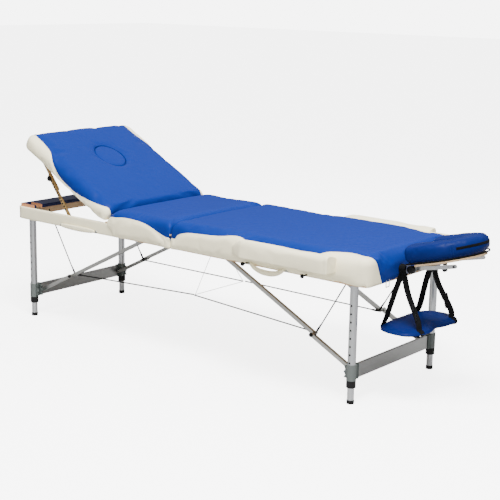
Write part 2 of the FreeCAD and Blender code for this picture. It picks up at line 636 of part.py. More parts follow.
def face_cradle():
    """Flat arms with a plywood horseshoe and its pillow, which stand a little steeper than the arms."""
    turn = {"turn": -value("tilt"), "about": ("tilt_x", "tilt_z")}
    arms = []
    for side in SIDES.values():
        low, high = band("arm_y - 3", "arm_y + 3", side)
        bar = box(("tilt_x", "tilt_x + arm_len"), (low, high), ("tilt_z - 7", "tilt_z + 7"))
        caps = [rod("y", "7", (at, low, "tilt_z"), "6") for at in ("tilt_x", "tilt_x + arm_len")]
        bolt_y = "arm_y + 3" if side == FAR else "-arm_y - 6"
        bolt = rod("y", "4", ("tilt_x + arm_len - 2", bolt_y, "tilt_z"), "3")
        bore = through_side("3 + pin_gap", "tilt_x", "tilt_z", side)
        arms.append(cut(fuse([bar, bolt] + caps), [bore]))
    node("cradle_arms", arms, **turn)
    steeper = {"turn": -value("pad_tilt"), "about": ("tilt_x", "tilt_z")}
    plate = crescent("10", "plate_start", "plate_low", "plate_top", "cradle_plate")
    node("cradle_plate", [plate], **steeper)
    pillow = crescent("0", "pillow_start", "pillow_low", "pillow_top", "headrest_pillow")
    node("headrest_pillow", [pillow], **steeper)


def cam_levers():
    """The cam that locks the tilt: a round knob on the near side and a hanging lever on the far side."""
    near_pin = rod("y", "3", ("tilt_x", "-arm_y - 12", "tilt_z"), "17")
    near_knob = rod("y", "14", ("tilt_x", "-arm_y - 25", "tilt_z"), "14")
    far_pin = rod("y", "3", ("tilt_x", "arm_y - 5", "tilt_z"), "17")
    far_hub = rod("y", "9", ("tilt_x", "arm_y + 11", "tilt_z"), "10")
    lever = box(("tilt_x - 6", "tilt_x + 6"), ("arm_y + 11", "arm_y + 21"), ("tilt_z - 40", "tilt_z"))
    tip = rod("y", "9", ("tilt_x", "arm_y + 11", "tilt_z - 40"), "10")
    node("cam_levers", [fuse([near_pin, near_knob]), fuse([far_pin, far_hub, lever, tip])])


def strap(start, end):
    """A flat strap between two points, with x from the seam."""
    item = doc.addObject("Part::Box", "strap")
    item.setExpression("Width", formula("strap_wide"))
    item.setExpression("Length", formula("strap_thick"))
    item.Height = (end - start).Length
    turn = FreeCAD.Rotation(FreeCAD.Vector(0, 0, 1), end - start)
    corner = FreeCAD.Vector(-value("strap_thick") / 2, -value("strap_wide") / 2, 0)
    seam = FreeCAD.Vector(value("seam_x"), 0, 0)
    item.Placement = FreeCAD.Placement(start + seam + turn.multVec(corner), turn)
    return item


def arm_sling():
    """The padded arm shelf and the four straps it hangs by."""
    inner, outer = "shelf_in", "shelf_out"
    corners = [
        (inner, "-shelf_half + 20", "shelf_in - 6", "0"), (inner, "shelf_half - 20"),
        ("shelf_in + 60", "shelf_half"),
        ("shelf_out - 40", "shelf_half", "shelf_out - 12", "shelf_half - 22"),
        (outer, "shelf_half - 50"), ("shelf_out - 8", "50", "shelf_out - 30", "0"),
        ("shelf_out - 8", "-50"), (outer, "50 - shelf_half", "shelf_out - 12", "22 - shelf_half"),
        ("shelf_out - 40", "-shelf_half"), ("shelf_in + 60", "-shelf_half"),
    ]
    shelf = padded("XY_Plane", corners, "shelf_top - shelf_low", ("0", "0", "shelf_low"), "arm_shelf")
    node("arm_shelf", [shelf])
    straps = []
    for side in SIDES.values():
        for x, shift in ((value("shelf_in + 34"), -6), (value("shelf_out - 24"), 6)):
            top = FreeCAD.Vector(value("sling_x") + shift, side * (value("arm_y") + 2), value("sling_z") - 5)
            low = FreeCAD.Vector(x, side * (value("shelf_half") - 28), value("shelf_top") + 2.5)
            straps.append(strap(top, low))
    node("shelf_straps", [fuse(straps[:2]), fuse(straps[2:])])


def armrest(side_name):
    """An upholstered side rest on two rods that slide in the rail, with a clamp knob under each rod."""
    side = SIDES[side_name]
    front = f"{side} * armrest_out"
    back = f"{side} * armrest_in"
    corners = [("armrest_tip", back), ("armrest_tip + 75", front),
               ("armrest_end", front), ("armrest_end", back)]
    height = "armrest_top - armrest_low"
    pad = padded("XY_Plane", corners, height, ("0", "0", "armrest_low"), "armrest_" + side_name)
    rods, sockets = [], []
    for place in ("near", "far"):
        x = "armrest_rod_" + place
        rod_y = band("247", "armrest_out - 22", side)[0]
        rods.append(rod("y", "4", (x, rod_y, "armrest_rod_z"), "armrest_out - 22 - 247"))
        socket_y = band("armrest_in - 5", "armrest_out - 22", side)[0]
        sockets.append(rod("y", "4", (x, socket_y, "armrest_rod_z"), "armrest_out - 22 - armrest_in + 5"))
        grip = ball("ball_rad", (x, f"{side} * 330", "knob_z"))
        stem = rod("y", "3", (x, band("290", "324", side)[0], "knob_z"), "34")
        node(f"armrest_knob_{side_name}_{place}", [fuse([grip, stem])])
    node("armrest_" + side_name, [cut(pad, sockets)])
    node("armrest_rods_" + side_name, rods)


def export():
    """Checks every object and every sub-part's shape, then writes one STEP file per sub-part."""
    doc.recompute()
    failed = [item.Label for item in doc.Objects if "Invalid" in item.State or "Error" in item.State]
    failed += [item.Label for item in nodes
               if item.Shape.isNull() or not item.Shape.isValid() or not item.Shape.Solids]
    if failed:
        raise RuntimeError("failed objects: " + ", ".join(failed))
    os.makedirs("parts", exist_ok=True)
    for item in nodes:
        item.Shape.exportStep(f"parts/{item.Label}.step")
    whole = Part.makeCompound([item.Shape for item in nodes]).BoundBox
    print(len(nodes), "sub-parts, x", round(whole.XMin, 3), round(whole.XMax, 3), "y", round(whole.YMin, 3),
          round(whole.YMax, 3), "z", round(whole.ZMin, 3), round(whole.ZMax, 3))


def build():
    make_sheet()
    decks_and_pads()
    for letter in ENDS:
        frame_rails(letter)
        frame_fittings(letter)
        leg_frame(letter)
        leg_sockets(letter)
        braces(letter)
        cables(letter)
        for side_name in SIDES:
            sliding_leg(side_name, letter)
    handle("a", "-526", 100, 2)
    handle("b", "492", 80, 23)
    latch_ring()
    pull_cord()
    backrest()
    props()
    headrest_base()
    face_cradle()
    cam_levers()
    arm_sling()
    for side_name in SIDES:
        armrest(side_name)
    export()


build()
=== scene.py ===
import json
import math

import bmesh
import bpy
from mathutils import Matrix, Vector


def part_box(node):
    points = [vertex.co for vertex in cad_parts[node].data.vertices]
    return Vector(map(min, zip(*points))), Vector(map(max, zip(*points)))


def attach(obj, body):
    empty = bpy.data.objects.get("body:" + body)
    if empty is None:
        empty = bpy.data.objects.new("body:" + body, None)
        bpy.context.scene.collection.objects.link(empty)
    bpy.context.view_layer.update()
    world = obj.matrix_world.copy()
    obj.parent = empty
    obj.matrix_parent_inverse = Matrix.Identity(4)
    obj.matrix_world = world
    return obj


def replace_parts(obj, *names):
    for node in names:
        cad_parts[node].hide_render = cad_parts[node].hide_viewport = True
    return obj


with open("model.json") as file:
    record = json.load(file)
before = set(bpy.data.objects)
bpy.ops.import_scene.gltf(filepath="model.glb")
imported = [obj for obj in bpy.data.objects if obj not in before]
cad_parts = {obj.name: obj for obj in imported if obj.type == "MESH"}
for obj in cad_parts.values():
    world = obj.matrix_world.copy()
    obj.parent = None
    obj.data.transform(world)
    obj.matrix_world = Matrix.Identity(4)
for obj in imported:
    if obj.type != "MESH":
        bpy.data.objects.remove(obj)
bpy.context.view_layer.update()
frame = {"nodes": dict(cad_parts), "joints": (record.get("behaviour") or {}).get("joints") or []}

# The looks of a folding massage table: two-colour vinyl covers over the foam blocks, webbing, handles, knobs
# and small trim, all placed from the CAD frame. Lengths are metres; +X is the head end and -Y the near side.

NEAR, FAR = -1, 1
SIDES = {"near": NEAR, "far": FAR}
UP = Vector((0, 0, 1))


# ---- places, all read from the frame

def joint(name):
    return next(j for j in frame["joints"] if j["name"] == name)


seat_box, leg_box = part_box("seat_cushion"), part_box("leg_cushion")
rail_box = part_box("frame_rails_b")
SEAM = (seat_box[1].x + leg_box[0].x) / 2
SEAM_LINE = 0.0009  # how far each cover stops short of the seam
HALF = seat_box[1].y
PAD_TOP = seat_box[1].z
RAIL_LOW, RAIL_TOP, RAIL_OUT = rail_box[0].z, rail_box[1].z, rail_box[1].y
HALF_LENGTH = rail_box[1].x - SEAM
HINGE = Vector(joint("backrest_tilt")["pos_m"])
RECLINE = -math.radians(joint("backrest_tilt")["range_deg"][0])
PIVOT = Vector(joint("headrest_tilt")["pos_m"])
ARM_TILT, PAD_TILT = math.radians(12), math.radians(14)  # how far the cradle arms and the pillow lean back
PLUG_DEPTH = 0.045
PANEL_HALF = 0.2535  # half the width of the flat panel between a pair of legs
SEAM_SHADOW_REACH = 0.006  # painted shadow: the rails are painted near-black this close to the seam, for the shade in the gap
STRAP_WIDTH, STRAP_DEPTH, STRAP_Y = 0.022, 0.0018, 0.113
PROP_HOLE_PITCH = 0.014
HOLE_TOP, HOLE_PITCH, HOLES, BUTTON_HOLE = 0.363, 0.030, 8, 1
CAMERA_WHITE, FLOOR_GLOW = 6.5, 4.5  # what the camera sees of the studio and the floor
PILLOW_LOW, PILLOW_TOP = 0.021, 0.0855  # heights over the cradle pivot
SHELF_SWELL, SHELF_SAG = 0.013, 0.007
ROD_Y = 0.100  # the sling hangs from the headrest rods here


def turned_about(point, angle):
    return Matrix.Translation(point) @ Matrix.Rotation(angle, 4, "Y") @ Matrix.Translation(-point)


BACK = turned_about(HINGE, RECLINE)
ARMS = Matrix.Translation(PIVOT) @ Matrix.Rotation(-ARM_TILT, 4, "Y")
CRADLE = Matrix.Translation(PIVOT) @ Matrix.Rotation(-PAD_TILT, 4, "Y")


# ---- materials

class Paint:
    """A node material grown layer by layer round one Principled shader."""

    def __init__(self, name, colour, rough, metal=0.0, **inputs):
        self.material = bpy.data.materials.new(name)
        self.material.use_nodes = True
        self.tree = self.material.node_tree
        self.shader = self.tree.nodes["Principled BSDF"]
        self.shader.inputs["Base Color"].default_value = (*colour, 1)
        self.shader.inputs["Roughness"].default_value = rough
        self.shader.inputs["Metallic"].default_value = metal
        for key, number in inputs.items():
            self.shader.inputs[key.replace("_", " ")].default_value = number
        self.colour = tuple(colour)
        self.rough = rough
        self.place = self.node("ShaderNodeTexCoord").outputs["Object"]
        self.last_bump = None

    def node(self, kind, **settings):
        made = self.tree.nodes.new(kind)
        for key, setting in settings.items():
            if key in made.inputs:
                made.inputs[key].default_value = setting
            else:
                setattr(made, key, setting)
        return made

    def link(self, source, target):
        self.tree.links.new(source, target)

    def stretched(self, stretch, turn=(0, 0, 0)):
        mapping = self.node("ShaderNodeMapping")
        mapping.inputs["Scale"].default_value = stretch
        mapping.inputs["Rotation"].default_value = turn
        self.link(self.place, mapping.inputs["Vector"])
        return mapping.outputs["Vector"]

    def noise(self, scale, detail, stretch=(1, 1, 1)):
        made = self.node("ShaderNodeTexNoise", Scale=scale, Detail=detail)
        self.link(self.stretched(stretch), made.inputs["Vector"])
        return made.outputs["Fac"]

    def cells(self, scale):
        made = self.node("ShaderNodeTexVoronoi", Scale=scale)
        self.link(self.place, made.inputs["Vector"])
        return made.outputs["Distance"]

    def weave(self, scale, stretch, turn=(0, 0, 0)):
        made = self.node("ShaderNodeTexWave", Scale=scale)
        self.link(self.stretched(stretch, turn), made.inputs["Vector"])
        return made.outputs["Fac"]

    def bump(self, height, depth):
        made = self.node("ShaderNodeBump", Distance=depth)
        made.inputs["Strength"].default_value = 1.0
        self.link(height, made.inputs["Height"])
        if self.last_bump:
            self.link(self.last_bump, made.inputs["Normal"])
        self.last_bump = made.outputs["Normal"]
        self.link(self.last_bump, self.shader.inputs["Normal"])
        return self

    def mixed(self, factor, low, high):
        mix = self.node("ShaderNodeMix", data_type="RGBA")
        self.link(factor, mix.inputs[0])
        for slot, shade in ((6, low), (7, high)):
            if isinstance(shade, tuple):
                mix.inputs[slot].default_value = (*shade, 1)
            else:
                self.link(shade, mix.inputs[slot])
        return mix.outputs[2]

    def coloured(self, factor, low, high):
        self.link(self.mixed(factor, low, high), self.shader.inputs["Base Color"])
        return self

    def far_from(self, source, axis, limit, centre=0.0):
        """A mask that is 1 where the source lies more than limit away from centre along an axis."""
        parts = self.node("ShaderNodeSeparateXYZ")
        self.link(source, parts.inputs[0])
        last = parts.outputs[axis]
        for operation, number in (("SUBTRACT", centre), ("ABSOLUTE", 0), ("GREATER_THAN", limit)):
            step = self.node("ShaderNodeMath", operation=operation)
            step.inputs[1].default_value = number
            self.link(last, step.inputs[0])
            last = step.outputs[0]
        return last

    def facing(self, axis, limit):
        """A mask that is 1 where the surface faces along an axis, either way."""
        return self.far_from(self.node("ShaderNodeNewGeometry").outputs["Normal"], axis, limit)

    def tint(self, factor, amount):
        """Lets the base colour drift darker and lighter by a share."""
        low = tuple(c * (1 - amount) for c in self.colour)
        high = tuple(min(1, c * (1 + amount)) for c in self.colour)
        return self.coloured(factor, low, high)

    def roughen(self, factor, amount):
        spread = self.node("ShaderNodeMapRange")
        spread.inputs["To Min"].default_value = max(0.03, self.rough - amount)
        spread.inputs["To Max"].default_value = min(1, self.rough + amount)
        self.link(factor, spread.inputs["Value"])
        self.link(spread.outputs["Result"], self.shader.inputs["Roughness"])
        return self

    def worn(self, shade):
        """Blends towards a lighter shade where the surface turns outwards sharply."""
        edge = self.node("ShaderNodeMapRange")
        edge.inputs["From Min"].default_value = 0.52
        edge.inputs["From Max"].default_value = 0.62
        self.link(self.node("ShaderNodeNewGeometry").outputs["Pointiness"], edge.inputs["Value"])
        source = self.shader.inputs["Base Color"]
        base = source.links[0].from_socket if source.links else self.colour
        return self.coloured(edge.outputs["Result"], base, shade)


TUBE_GREY = (0.46, 0.47, 0.48)


def vinyl(name, colour, rough, gloss):
    """Soft vinyl: a fine pebble, a finer grit and slow waves."""
    paint = Paint(name, colour, rough, Specular_IOR_Level=gloss)
    paint.tint(paint.noise(9, 3), 0.05).roughen(paint.noise(60, 5), 0.07)
    paint.bump(paint.cells(900), 0.00012).bump(paint.noise(2200, 2), 0.00008).bump(paint.noise(28, 3), 0.0009)
    return paint.worn(tuple(min(1, c * 1.15 + 0.001) for c in colour)).material


def metal(name, colour, rough, stretch=(1, 1, 60), scratch=0.00004):
    paint = Paint(name, colour, rough, 1.0)
    lines = paint.noise(140, 3, stretch)
    paint.roughen(lines, 0.1).bump(lines, scratch)
    paint.tint(paint.noise(14, 4), 0.06)
    return paint.worn(tuple(min(1, c * 1.2) for c in colour)).material


def leg_metal():
    """Brushed tubes, with the flat end panel between the legs rolled duller and darker."""
    paint = Paint("leg_metal", TUBE_GREY, 0.32, 1.0)
    streaks = paint.noise(140, 3, (1, 0.02, 60))
    paint.roughen(streaks, 0.1).bump(streaks, 0.00004)
    panel = paint.mixed(paint.noise(60, 5, (1, 0.05, 6)), (0.25, 0.25, 0.245), (0.33, 0.33, 0.325))
    return paint.coloured(paint.far_from(paint.place, "Y", PANEL_HALF), panel, TUBE_GREY).material


def casting():
    paint = Paint("cast_grey", (0.055, 0.067, 0.063), 0.55, 0.1, Specular_IOR_Level=0.2)
    grit = paint.noise(700, 4)
    paint.bump(grit, 0.00035).roughen(grit, 0.12).tint(paint.noise(60, 3), 0.2)
    return paint.worn((0.12, 0.135, 0.13)).material


def plastic(name, colour, rough=0.45, grain=0.00008):
    paint = Paint(name, colour, rough, Specular_IOR_Level=0.14)
    paint.bump(paint.noise(1500, 2), grain).roughen(paint.noise(35, 3), 0.1).tint(paint.noise(20, 2), 0.15)
    return paint.worn(tuple(c + 0.006 for c in colour)).material


def prop_wood():
    paint = Paint("golden_wood", (0.30, 0.19, 0.07), 0.4, Coat_Weight=0.1, Coat_Roughness=0.25)
    rings = paint.noise(26, 6, (14, 14, 1))
    fibre = paint.noise(300, 3, (0.12, 2, 2))
    paint.coloured(rings, (0.17, 0.09, 0.03), (0.30, 0.19, 0.07)).bump(fibre, 0.00012).roughen(fibre, 0.1)
    return paint.worn((0.375, 0.2375, 0.0875)).material


def rail_wood():
    """Beech, with painted shadow: the two end faces that meet at the seam are painted near-black for the shade in the
    gap.
    """
    paint = Paint("beech", (0.62, 0.42, 0.25), 0.5, Specular_IOR_Level=0.2)
    grain = paint.mixed(paint.noise(26, 6, (1, 14, 14)), (0.46, 0.28, 0.15), (0.64, 0.44, 0.26))
    # painted shadow: the wood turns near-black close to the seam, standing for the shade in the gap between the two
    # halves
    paint.coloured(paint.far_from(paint.place, "X", SEAM_SHADOW_REACH, SEAM), (0.008, 0.007, 0.006), grain)
    return paint.bump(paint.noise(300, 3, (0.12, 2, 2)), 0.0001).material


def plywood():
    """Pale face veneer, with the plies showing as bands on the edges."""
    paint = Paint("plywood", (0.62, 0.44, 0.25), 0.55)
    face = paint.mixed(paint.noise(22, 6, (1, 12, 12)), (0.5, 0.34, 0.18), (0.68, 0.5, 0.3))
    plies = paint.mixed(paint.weave(330, (0, 0, 1), (0, math.pi / 2, 0)), (0.33, 0.2, 0.1), (0.7, 0.53, 0.32))
    paint.coloured(paint.facing("Z", 0.6), plies, face)
    return paint.bump(paint.noise(260, 3, (0.15, 2, 2)), 0.0001).material


def navy_board():
    """A navy painted board whose raw wood shows on the cut end faces."""
    paint = Paint("navy_board", (0.004, 0.008, 0.045), 0.5, Specular_IOR_Level=0.15)
    raw = paint.mixed(paint.noise(40, 5, (8, 1, 8)), (0.42, 0.15, 0.06), (0.68, 0.33, 0.16))
    navy = paint.mixed(paint.noise(160, 4), (0.002, 0.004, 0.03), (0.005, 0.010, 0.055))
    return paint.coloured(paint.facing("Y", 0.5), navy, raw).bump(paint.noise(220, 3), 0.0001).material


def webbing(name, colour, rough, pitch):
    paint = Paint(name, colour, rough, Specular_IOR_Level=0.12)
    paint.bump(paint.weave(pitch, (1, 1, 0.2)), 0.0004).bump(paint.weave(pitch, (0.2, 0.2, 1)), 0.0004)
    return paint.tint(paint.noise(400, 3), 0.35).material


def cord_paint(name, colour, rough):
    paint = Paint(name, colour, rough, Specular_IOR_Level=0.15)
    paint.bump(paint.weave(900, (1, 1, 1), (0.6, 0.5, 0.4)), 0.0003)
    return paint.tint(paint.noise(300, 2), 0.2).material


BLUE = vinyl("vinyl_blue", (0.0052, 0.0215, 0.17), 0.42, 0.045)
CREAM = vinyl("vinyl_cream", (0.91, 0.84, 0.60), 0.45, 0.15)
DEEP_BLUE = vinyl("vinyl_deep_blue", (0.0025, 0.0100, 0.085), 0.38, 0.045)
THREAD_BLUE = cord_paint("thread_blue", (0.004, 0.022, 0.16), 0.6)
THREAD_CREAM = cord_paint("thread_cream", (0.78, 0.72, 0.58), 0.6)
ALUMINIUM = metal("brushed_aluminium", TUBE_GREY, 0.3)
LEG_METAL = leg_metal()
BRACE_METAL = metal("satin_brace", (0.34, 0.34, 0.325), 0.34)
ZINC = metal("zinc_plate", (0.32, 0.33, 0.33), 0.34, (1, 1, 1))
CHROME = metal("chrome_wire", (0.5, 0.51, 0.52), 0.15, (1, 1, 1), 0.00001)
DARK_STEEL = metal("dark_steel", (0.05, 0.05, 0.055), 0.4, (1, 1, 1))
CAST = casting()
BLACK = plastic("black_plastic", (0.004, 0.004, 0.0045))
RUBBER = plastic("black_rubber", (0.008, 0.008, 0.008), 0.75, 0.0002)
BEECH = rail_wood()
PROP_WOOD = prop_wood()
PLYWOOD = plywood()
NAVY = navy_board()
STRAP = webbing("black_webbing", (0.0035, 0.0035, 0.004), 0.8, 520)
TAPE = webbing("hook_tape", (0.0025, 0.0025, 0.003), 0.95, 900)
CABLE = cord_paint("dark_cable", (0.012, 0.012, 0.012), 0.45)
CORD = cord_paint("white_cord", (0.82, 0.82, 0.84), 0.7)

CORNERS = [f"{side}_{letter}" for side in SIDES for letter in "ab"]


def both(*stems):
    """The a and b nodes of each stem."""
    return [stem + letter for stem in stems for letter in ("_a", "_b")]


CAD_PAINT = {
    ALUMINIUM: ["inner_leg_" + corner for corner in CORNERS] + ["cradle_arms"],
    LEG_METAL: both("leg_frame"),
    BRACE_METAL: both("brace_upper", "brace_lower"),
    CAST: both("corner_brackets"),
    BLACK: both("collars") + ["cam_levers"] + [f"armrest_knob_{a}_{b}" for a in SIDES for b in SIDES],
    RUBBER: ["foot_" + corner for corner in CORNERS],
    DARK_STEEL: ["snap_button_" + corner for corner in CORNERS],
    BEECH: both("frame_rails"),
    PLYWOOD: ["seat_deck", "leg_deck", "backrest_deck", "cradle_plate"],
    NAVY: ["end_board"],
    PROP_WOOD: ["prop_lower", "prop_upper"],
    ZINC: both("frame_fittings") + ["headrest_rods", "armrest_rods_near", "armrest_rods_far"],
    CHROME: ["latch_ring"],
    CABLE: both("cable_long", "cable_short"),
    CORD: ["pull_cord"],
}


def paint_cad_nodes():
    """Each CAD piece that stays gets its own procedural finish."""
    for paint, names in CAD_PAINT.items():
        for name in names:
            slots = frame["nodes"][name].data.materials
            slots.clear()
            slots.append(paint)


# ---- mesh tools

def piece(name, points, faces, paints, body, face_paint=None, smooth=True):
    """A mesh object that rides on a CAD body; face_paint picks the paint of each face."""
    mesh = bpy.data.meshes.new(name)
    mesh.from_pydata([tuple(p) for p in points], [], faces)
    for paint in paints:
        mesh.materials.append(paint)
    if face_paint:
        mesh.polygons.foreach_set("material_index", face_paint)
    mesh.polygons.foreach_set("use_smooth", [smooth] * len(mesh.polygons))
    made = bpy.data.objects.new(name, mesh)
    bpy.context.scene.collection.objects.link(made)
    tidy = bmesh.new()
    tidy.from_mesh(mesh)
    bmesh.ops.recalc_face_normals(tidy, faces=tidy.faces)
    tidy.to_mesh(mesh)
    tidy.free()
    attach(made, body)
    return made


def squared(value, power):
    """Pushes a sine or cosine outwards, so that a circle made of them turns squarish."""
    return math.copysign(abs(value) ** power, value)


def round_steps(count):
    return [2 * math.pi * k / count for k in range(count)]


def subdivided(item):
    fine = item.modifiers.new("fine", "SUBSURF")
    fine.levels = fine.render_levels = 1
    return item


def thickened(item, depth):
    wall = item.modifiers.new("wall", "SOLIDIFY")
    wall.thickness, wall.offset = depth, -1
    return item


def skin(rings, capped=True, base=0):
    """Points and faces over a list of rings of equal length; capped closes both ends with a fan."""
    count = len(rings[0])
    points = [p for ring in rings for p in ring]
    faces = []
    for row in range(len(rings) - 1):
        here, there = base + row * count, base + (row + 1) * count
        for i in range(count):
            j = (i + 1) % count
            faces.append((here + i, here + j, there + j, there + i))
    if capped:
        for row in (0, len(rings) - 1):
            points.append(sum((Vector(p) for p in rings[row]), Vector()) / count)
            hub, here = base + len(points) - 1, base + row * count
            faces += [(here + i, here + (i + 1) % count, hub) for i in range(count)]
    return points, faces


def loft(name, rings, paint, body, capped=True):
    points, faces = skin(rings, capped)
    return piece(name, points, faces, [paint], body)


def step_ahead(path, i):
    """The direction of a path at its point i."""
    return (path[min(i + 1, len(path) - 1)] - path[max(i - 1, 0)]).normalized()


def tube(name, path, radius, paint, body, sides):
    rings = []
    for i, point in enumerate(path):
        ahead = step_ahead(path, i)
        side = ahead.cross(UP).normalized()
        rise = side.cross(ahead).normalized()
        rings.append([point + (side * math.cos(a) + rise * math.sin(a)) * radius for a in round_steps(sides)])
    return loft(name, rings, paint, body)


def ribbon(name, path, across, width, depth, paint, body):
    """A flat strap with rounded edges along a path; across(t) is its width direction."""
    rings = []
    for i, point in enumerate(path):
        ahead = step_ahead(path, i)
        wide = across(i / (len(path) - 1))
        wide = (wide - ahead * wide.dot(ahead)).normalized()
        thick = ahead.cross(wide)
        rings.append([point + wide * (squared(math.cos(a), 0.3) * width / 2)
                      + thick * (squared(math.sin(a), 0.6) * depth / 2) for a in round_steps(16)])
    return loft(name, rings, paint, body)


def turned_rings(profile, start, axis, sides, flute=None):
    axis = Vector(axis).normalized()
    side = axis.orthogonal().normalized()
    rise = axis.cross(side)
    rings = []
    for along, radius in profile:
        ring = []
        for a in round_steps(sides):
            r = radius * (1 + (flute[1] * math.cos(flute[0] * a) if flute else 0))
            ring.append(Vector(start) + axis * along + (side * math.cos(a) + rise * math.sin(a)) * r)
        rings.append(ring)
    return rings


def turned(name, profile, start, axis, paint, body, sides, flute=None):
    """A turned piece: profile gives (distance along the axis, radius); flute makes the radius wave."""
    return loft(name, turned_rings(profile, start, axis, sides, flute), paint, body)


def discs(name, centres, profile, axis, body):
    """One mesh of several equal black discs."""
    points, faces = [], []
    for centre in centres:
        more_points, more_faces = skin(turned_rings(profile, centre, axis, 20), base=len(points))
        points += more_points
        faces += more_faces
    piece(name, points, faces, [BLACK], body)


def curve_through(knots):
    """Catmull-Rom points through a few knots."""
    steps = 12
    ends = [2 * knots[0] - knots[1]] + knots + [2 * knots[-1] - knots[-2]]
    path = []
    for i in range(1, len(ends) - 2):
        a, b, c, d = ends[i - 1:i + 3]
        for step in range(steps):
            t = step / steps
            path.append(0.5 * (2 * b + (c - a) * t + (2 * a - 5 * b + 4 * c - d) * t * t
                               + (3 * b - a - 3 * c + d) * t ** 3))
    return path + [knots[-1]]


def stitches(name, path, lifts, body, paint, pitch=0.006, length=0.0036):
    """A row of short thread loops lying along a seam; lifts has the outward direction at each path point."""
    radius = 0.00055
    points, faces = [], []
    run, goal = 0.0, 0.0
    for i in range(1, len(path)):
        step = (path[i] - path[i - 1]).length
        while step > 0 and run + step >= goal:
            at = path[i - 1].lerp(path[i], (goal - run) / step)
            ahead = (path[i] - path[i - 1]).normalized()
            out = lifts[i]
            wide = ahead.cross(out).normalized()
            base = len(points)
            for along, size in ((-0.5, 0.4), (-0.25, 1), (0.25, 1), (0.5, 0.4)):
                for a in round_steps(6):
                    off = wide * math.cos(a) * radius * size + out * math.sin(a) * radius * size
                    points.append(at + ahead * along * length + off)
            for here in (base, base + 6, base + 12):
                for k in range(6):
                    j = (k + 1) % 6
                    faces.append((here + k, here + j, here + 6 + j, here + 6 + k))
            faces.append(tuple(base + k for k in range(6)))
            faces.append(tuple(base + 18 + k for k in reversed(range(6))))
            goal += pitch
        run += step
    return piece(name, points, faces, [paint], body)


def swell(item, held, cap):
    """Blows the cover up a little with Blender's cloth, holding the seams and hems, and caps the movement."""
    hold = item.vertex_groups.new(name="held")
    hold.add(held, 1.0, "REPLACE")
    cloth = item.modifiers.new("cloth", "CLOTH")
    cloth.settings.vertex_group_mass = "held"
    cloth.settings.use_pressure = True
    cloth.settings.uniform_pressure_force = 4.0
    cloth.settings.effector_weights.gravity = 0
    cloth.settings.tension_stiffness = 15.0
    cloth.settings.bending_stiffness = 1.5
    cloth.settings.shrink_min = -0.012
    cloth.collision_settings.use_collision = False
    scene = bpy.context.scene
    for step in range(1, 21):
        scene.frame_set(step)
    blown = item.evaluated_get(bpy.context.evaluated_depsgraph_get()).data
    for vertex, moved in zip(item.data.vertices, blown.vertices):
        shift = moved.co - vertex.co
        if shift.length > cap:
            shift *= cap / shift.length
        vertex.co += shift
    item.modifiers.remove(cloth)
    item.vertex_groups.remove(hold)
    scene.frame_set(1)


# ---- two-colour pad covers

class Block:
    """A rounded foam block that a flat cover pattern is folded over; its foot end is -x and its head end +x."""

    def __init__(self, x0, x1, half, top, corner, edge, floors, square, crown=0.0, lean=0.0):
        self.half, self.top, self.edge, self.floors = half, top, edge, floors
        self.square = square  # the ends whose corners are squared off
        self.crown, self.lean = crown, lean  # the rise of the middle, the slope of the foot end
        self.core = (x0 + corner, x1 - corner, half - corner)
        self.flat = corner - edge
        self.skirt = top - floors["side"] - edge
        self.bend = edge * math.pi / 2
        self.reach = self.flat + self.bend + self.skirt + 0.010  # the last of it is the hem, tucked under

    def across(self, drop):
        """Pattern distance from the middle line: negative is inset on top, positive is a drop down the side."""
        start = self.half - self.edge
        if drop < -self.edge:
            return self.half + drop
        if drop < 0:
            return start + self.edge * math.asin((self.edge + drop) / self.edge) * 0.5
        if drop < self.edge:
            return start + self.edge * (math.acos(1 - drop / self.edge) * 0.5 + math.pi / 4)
        return start + self.bend + drop - self.edge

    def place(self, px, py):
        x_low, x_high, y_core = self.core
        side = max(0.0, abs(py) - y_core)
        end = max(0.0, px - x_high, x_low - px)
        over = max(side, end)
        end_name = "head" if px > (x_low + x_high) / 2 else "foot"
        x = min(max(px, x_low), x_high)
        y = min(max(py, -y_core), y_core)
        turn = 0.0
        if over > 0:
            turn = math.pi / 2 - math.pi / 4 * end / side if side >= end else math.pi / 4 * side / end
        floor = self.floors[end_name]
        floor += (self.floors["side"] - floor) * math.sin(turn) ** 4
        out, drop = over, 0.0
        if over > self.flat:
            bent = min((over - self.flat) / self.edge, math.pi / 2)
            out = self.flat + self.edge * math.sin(bent)
            drop = self.edge * (1 - math.cos(bent))
        if over > self.flat + self.bend:
            run = min((over - self.flat - self.bend) / self.skirt, 1)
            drop = self.edge + run * (self.top - floor - self.edge)
        hem = over - (self.flat + self.bend + self.skirt)
        if hem > 0:
            out -= hem
            drop += 0.15 * hem
        if 0 < turn < math.pi / 2 and end_name in self.square:
            power = 2 + 8 * min(1.0, drop / (2.5 * self.edge))
            out *= (math.cos(turn) ** power + math.sin(turn) ** power) ** (-1 / power)
        x += (1 if end_name == "head" else -1) * out * math.cos(turn)
        y += math.copysign(out * math.sin(turn), py)
        if end_name == "foot" and over > 0:
            x -= self.lean * min(drop, self.top - self.floors["foot"]) * math.cos(turn)
        rise = self.crown * (1 - min(1, abs(y) / self.half) ** 3) * (1 - min(1, over / self.reach))
        return Vector((x, y, self.top - drop + rise))


